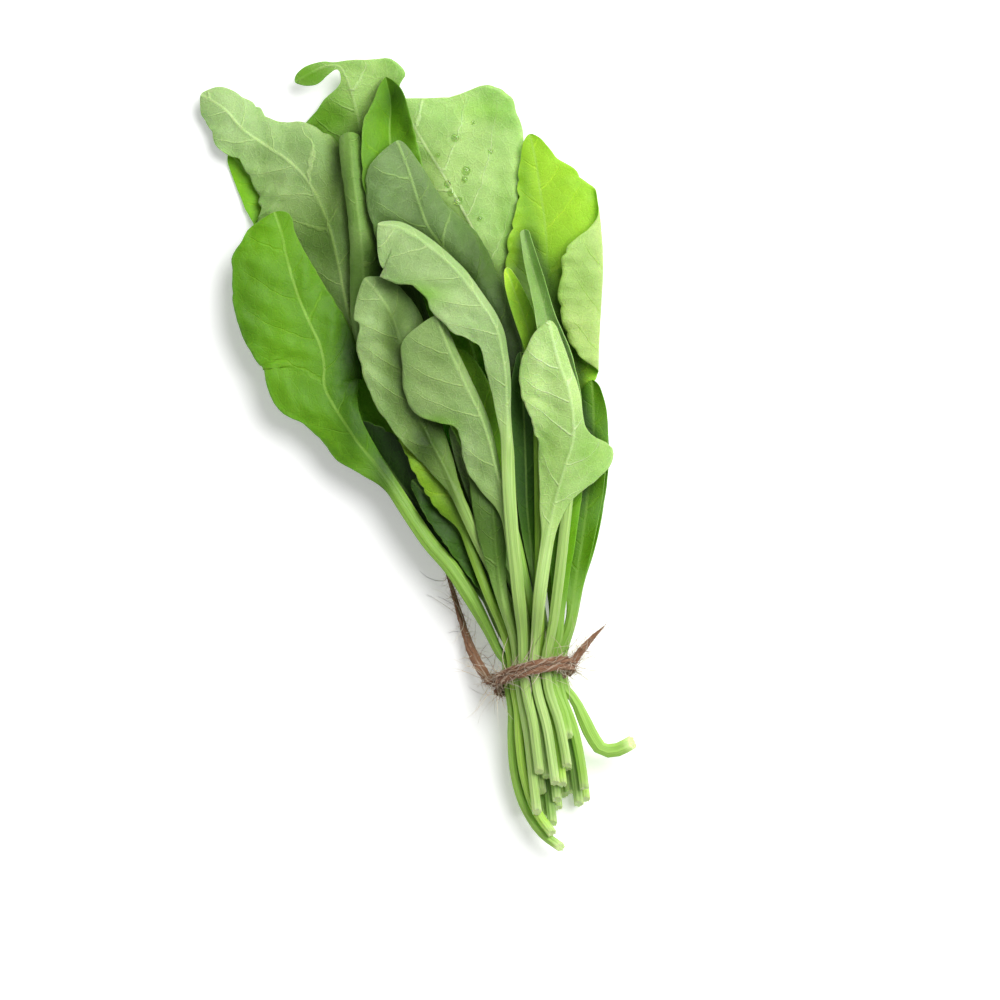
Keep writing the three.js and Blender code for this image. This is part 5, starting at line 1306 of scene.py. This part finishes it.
def build_drops(leaf, shift):
    """Low clear domes that sit on the leaf, with their roots a little way inside it."""
    surface = BVHTree.FromPolygons([v.co for v in leaf.data.vertices],
                                   [p.vertices for p in leaf.data.polygons])
    points, faces = [], []
    for x, y, radius in DROPS:
        above = Vector(((x - shift[0]) * MM, (y - shift[1]) * MM, ABOVE_ALL))
        hit, normal = surface.ray_cast(above, Vector((0, 0, -1)))[:2]
        if hit is None:
            raise RuntimeError("a drop of water misses the leaf at %g, %g" % (x, y))
        across = normal.orthogonal().normalized()
        other = normal.cross(across)
        first = len(points)
        for level in (k * (1 + DROP_ROOT) / DROP_RINGS - DROP_ROOT for k in range(DROP_RINGS)):
            turn = math.pi / 2 * max(level, 0)
            wide = math.cos(turn) * (1 if level >= 0 else 0.97)
            high = DROP_HEIGHT * (math.sin(turn) if level >= 0 else level)
            for a in clock(DROP_SIDES):
                outward = across * math.cos(a) + other * math.sin(a)
                points.append(hit / MM + (outward * wide + normal * high) * radius)
        rim, top = len(points) - DROP_SIDES, len(points)
        points.append(hit / MM + normal * DROP_HEIGHT * radius)
        faces += band_faces(first, DROP_RINGS, DROP_SIDES)
        faces += [(rim + i, rim + (i + 1) % DROP_SIDES, top) for i in range(DROP_SIDES)]
        faces.append(tuple(first + i for i in reversed(range(DROP_SIDES))))
    piece = make_mesh("water_drops", np.array(points), faces, {}, water_material())
    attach(piece, "root")


# The stage: where the picture's middle falls on the plan, and how far it spans, in millimetres.
# The light is placed and sized in metres.
VIEW_MIDDLE = (25, -10)
VIEW_SPAN = 250
VIEW_HEIGHT = 12
SENSOR = 36
SURFACE_HALF, SURFACE_Z = 6000, -0.4
LIGHT_PLACE = (0.6, 0.6, 1.2)
LIGHT_SIZE = 1.1


def build_stage(scene, settings):
    """A camera that looks straight down, a large pale surface, one large light and an even sky."""
    middle = shared(scene).shift
    x, y = (VIEW_MIDDLE[0] - middle[0]) * MM, (VIEW_MIDDLE[1] - middle[1]) * MM
    lens = bpy.data.cameras.new("camera")
    lens.lens = settings.lens
    lens.sensor_width = SENSOR
    height = (VIEW_HEIGHT + VIEW_SPAN * settings.lens / SENSOR) * MM
    scene.camera = put_in_scene("camera", lens, (x, y, height))

    corners = np.array([(-1, -1, 0), (1, -1, 0), (1, 1, 0), (-1, 1, 0)]) * SURFACE_HALF + (0, 0, SURFACE_Z)
    surface = make_mesh("surface", corners, [(0, 1, 2, 3)], {}, floor_material(settings))

    light = bpy.data.lights.new("key light", "AREA")
    light.shape = "DISK"
    light.size = LIGHT_SIZE
    light.energy = settings.key_power
    key = put_in_scene("key light", light, LIGHT_PLACE)
    key.rotation_euler = (-key.location).to_track_quat("-Z", "Y").to_euler()

    world = bpy.data.worlds.new("even sky")
    world.use_nodes = True
    background = world.node_tree.nodes["Background"]
    Nodes(world.node_tree).fill(background, {"Color": WHITE, "Strength": settings.sky})
    scene.world = world
    scene.view_settings.view_transform = "Standard"


# Settings that a user would change
def colour(name, description, red, green, blue):
    return FloatVectorProperty(name=name, description=description, subtype="COLOR", size=4, min=0, max=1,
                               default=srgb(red, green, blue))


class ArugulaLeafSettings(PropertyGroup):
    sage_face: colour("Sage upper side", "Upper side of the grey-green leaves", 84, 132, 44)
    sage_back: colour("Sage underside", "Underside of the grey-green leaves", 160, 188, 122)
    sage_stem: colour("Sage stem", "Stems and midribs of the grey-green leaves", 166, 198, 110)
    bright_face: colour("Bright upper side", "Upper side of the bright leaves", 100, 152, 20)
    bright_back: colour("Bright underside", "Underside of the bright leaves", 128, 172, 78)
    bright_stem: colour("Bright stem", "Stems and midribs of the bright leaves", 146, 188, 80)
    pale_face: colour("Pale upper side", "Upper side of the pale leaves", 110, 160, 36)
    pale_back: colour("Pale underside", "Underside of the pale leaves", 172, 204, 120)
    pale_stem: colour("Pale stem", "Stems and midribs of the pale leaves", 178, 208, 124)
    lime_face: colour("Lime upper side", "Upper side of the yellow-green leaves", 166, 210, 50)
    lime_back: colour("Lime underside", "Underside of the yellow-green leaves", 194, 216, 136)
    lime_stem: colour("Lime stem", "Stems and midribs of the yellow-green leaves", 166, 206, 84)
    dark_face: colour("Dark upper side", "Upper side of the dark leaves", 62, 104, 28)
    dark_back: colour("Dark underside", "Underside of the dark leaves", 124, 152, 94)
    dark_stem: colour("Dark stem", "Stems and midribs of the dark leaves", 140, 176, 90)
    cut_end: colour("Cut end", "Moist flesh in the cut ends of the stems", 190, 214, 136)
    glow: colour("Glow", "Green of thin blade with light behind it", 118, 180, 8)
    vein_width: FloatProperty(name="Vein width", description="Half-width of a lateral vein in millimetres",
                              default=0.5, min=0.1, max=1.5)


class ArugulaTwineSettings(PropertyGroup):
    thickness: FloatProperty(name="Thickness", description="Thickness of the twine in millimetres",
                             default=2.0, min=0.8, max=3)
    twist: FloatProperty(name="Twist", description="Length of one full twist of the strands in millimetres",
                         default=13, min=3, max=40)
    strands: IntProperty(name="Strands", description="Fine strands in the bundle", default=20, min=3, max=60)
    fibres: IntProperty(name="Fibres", description="Loose fibres on each ten centimetres of twine",
                        default=560, min=0, max=2000)
    fibre: colour("Fibre", "Lit strands of the jute", 182, 136, 102)
    groove: colour("Groove", "Shade between the strands", 112, 78, 58)
    loose: colour("Loose fibre", "Pale loose fibres", 236, 226, 204)


class ArugulaStageSettings(PropertyGroup):
    surface: colour("Surface", "Pale surface under the bunch", 250, 250, 250)
    key_power: FloatProperty(name="Key light", description="Strength of the large light", subtype="POWER",
                             unit="POWER", default=26.5, min=0, max=500)
    sky: FloatProperty(name="Sky", description="Strength of the even white light", default=0.36, min=0, max=3)
    # The surface glows evenly by itself with this strength, which lifts the shadows cast on it.
    surface_glow: FloatProperty(name="Bounce", description="Light that the surface gives back by itself",
                          default=0.25, min=0, max=1)
    lens: FloatProperty(name="Lens", description="Focal length of the camera in millimetres",
                        subtype="DISTANCE_CAMERA", unit="CAMERA", default=286, min=20, max=600)


# What the operators share, worked out once
class Shared:
    laid = None
    around = None
    shift = None
    materials = None


def shared(scene):
    """Settles the leaves and makes the leaf materials when they are first asked for."""
    if Shared.laid is None:
        Shared.laid, heights = settle()
        Shared.around = crowding(heights)
        corners = np.concatenate([rings.reshape(-1, 3) for _, _, rings in Shared.laid.values()])
        middle = (corners.min(axis=0) + corners.max(axis=0)) / 2
        Shared.shift = np.array([middle[0], middle[1], 0])
        groups = {"veins": lateral_veins(), "net": vein_network(), "tissue": leaf_tissue()}
        Shared.materials = {finish: leaf_material(finish, scene.arugula_leaf, groups) for finish in FINISHES}
    return Shared


LAYERS = {
    "outer": ("leaf_west_outer", "leaf_rolled", "leaf_north_east", "leaf_north_cup", "leaf_east_folded",
              "leaf_north_pale", "leaf_bent_stem", "leaf_centre_back", "leaf_west_front"),
    "front": ("leaf_dark_fold", "leaf_dark_wavy", "leaf_dark_strip", "leaf_bright_edge", "leaf_inner_narrow",
              "leaf_middle", "leaf_south_east", "leaf_winged", "leaf_saturated", "leaf_yellow_tip",
              "leaf_front_oval", "leaf_rolled_east", "leaf_front_long", "leaf_front_pale"),
    "hidden": ("leaf_hidden_middle", "leaf_hidden_west", "leaf_hidden_east", "leaf_hidden_core"),
}


class ARUGULA_OT_outer_leaves(Operator):
    """Builds the large outer leaves of the bunch"""
    bl_idname = "arugula.outer_leaves"
    bl_label = "Outer Leaves"

    def execute(self, context):
        build_leaves(LAYERS["outer"], shared(context.scene))
        return {"FINISHED"}


class ARUGULA_OT_front_leaves(Operator):
    """Builds the leaves that lie on top, towards the tie"""
    bl_idname = "arugula.front_leaves"
    bl_label = "Front Leaves"

    def execute(self, context):
        build_leaves(LAYERS["front"], shared(context.scene))
        return {"FINISHED"}


class ARUGULA_OT_hidden_leaves(Operator):
    """Builds the lowest and innermost leaves, which the others mostly hide"""
    bl_idname = "arugula.hidden_leaves"
    bl_label = "Hidden Leaves"

    def execute(self, context):
        build_leaves(LAYERS["hidden"], shared(context.scene))
        return {"FINISHED"}


class ARUGULA_OT_water_drops(Operator):
    """Sets small drops of water on the leaf at the upper right"""
    bl_idname = "arugula.water_drops"
    bl_label = "Water Drops"

    def execute(self, context):
        build_drops(bpy.data.objects["arugula_north_east"], shared(context.scene).shift)
        return {"FINISHED"}


class ARUGULA_OT_twine(Operator):
    """Winds the jute twine round the stems, with its two ends and loose fibres"""
    bl_idname = "arugula.twine"
    bl_label = "Twine"

    def execute(self, context):
        build_twine(context.scene.arugula_twine, shared(context.scene).shift)
        return {"FINISHED"}


class ARUGULA_OT_stage(Operator):
    """Sets up the camera, the pale surface and the soft light"""
    bl_idname = "arugula.stage"
    bl_label = "Stage"

    def execute(self, context):
        build_stage(context.scene, context.scene.arugula_stage)
        return {"FINISHED"}


class ARUGULA_PT_panel(Panel):
    bl_label = "Arugula Bunch"
    bl_idname = "ARUGULA_PT_panel"
    bl_space_type = "VIEW_3D"
    bl_region_type = "UI"
    bl_category = "Arugula"

    def draw(self, context):
        scene = context.scene
        for settings in (scene.arugula_leaf, scene.arugula_twine, scene.arugula_stage):
            box = self.layout.box()
            for name in settings.bl_rna.properties.keys():
                if name not in ("rna_type", "name"):
                    box.prop(settings, name)
        for operator in OPERATORS:
            self.layout.operator(operator.bl_idname)


OPERATORS = (ARUGULA_OT_stage, ARUGULA_OT_outer_leaves, ARUGULA_OT_front_leaves, ARUGULA_OT_hidden_leaves,
             ARUGULA_OT_water_drops, ARUGULA_OT_twine)
CLASSES = (ArugulaLeafSettings, ArugulaTwineSettings, ArugulaStageSettings, *OPERATORS, ARUGULA_PT_panel)


def register():
    for cls in CLASSES:
        bpy.utils.register_class(cls)
    bpy.types.Scene.arugula_leaf = PointerProperty(type=ArugulaLeafSettings)
    bpy.types.Scene.arugula_twine = PointerProperty(type=ArugulaTwineSettings)
    bpy.types.Scene.arugula_stage = PointerProperty(type=ArugulaStageSettings)


def unregister():
    del bpy.types.Scene.arugula_stage
    del bpy.types.Scene.arugula_twine
    del bpy.types.Scene.arugula_leaf
    for cls in reversed(CLASSES):
        bpy.utils.unregister_class(cls)


def main():
    register()
    bpy.ops.arugula.stage()
    bpy.ops.arugula.outer_leaves()
    bpy.ops.arugula.front_leaves()
    bpy.ops.arugula.hidden_leaves()
    bpy.ops.arugula.water_drops()
    bpy.ops.arugula.twine()


if __name__ == "__main__":
    main()
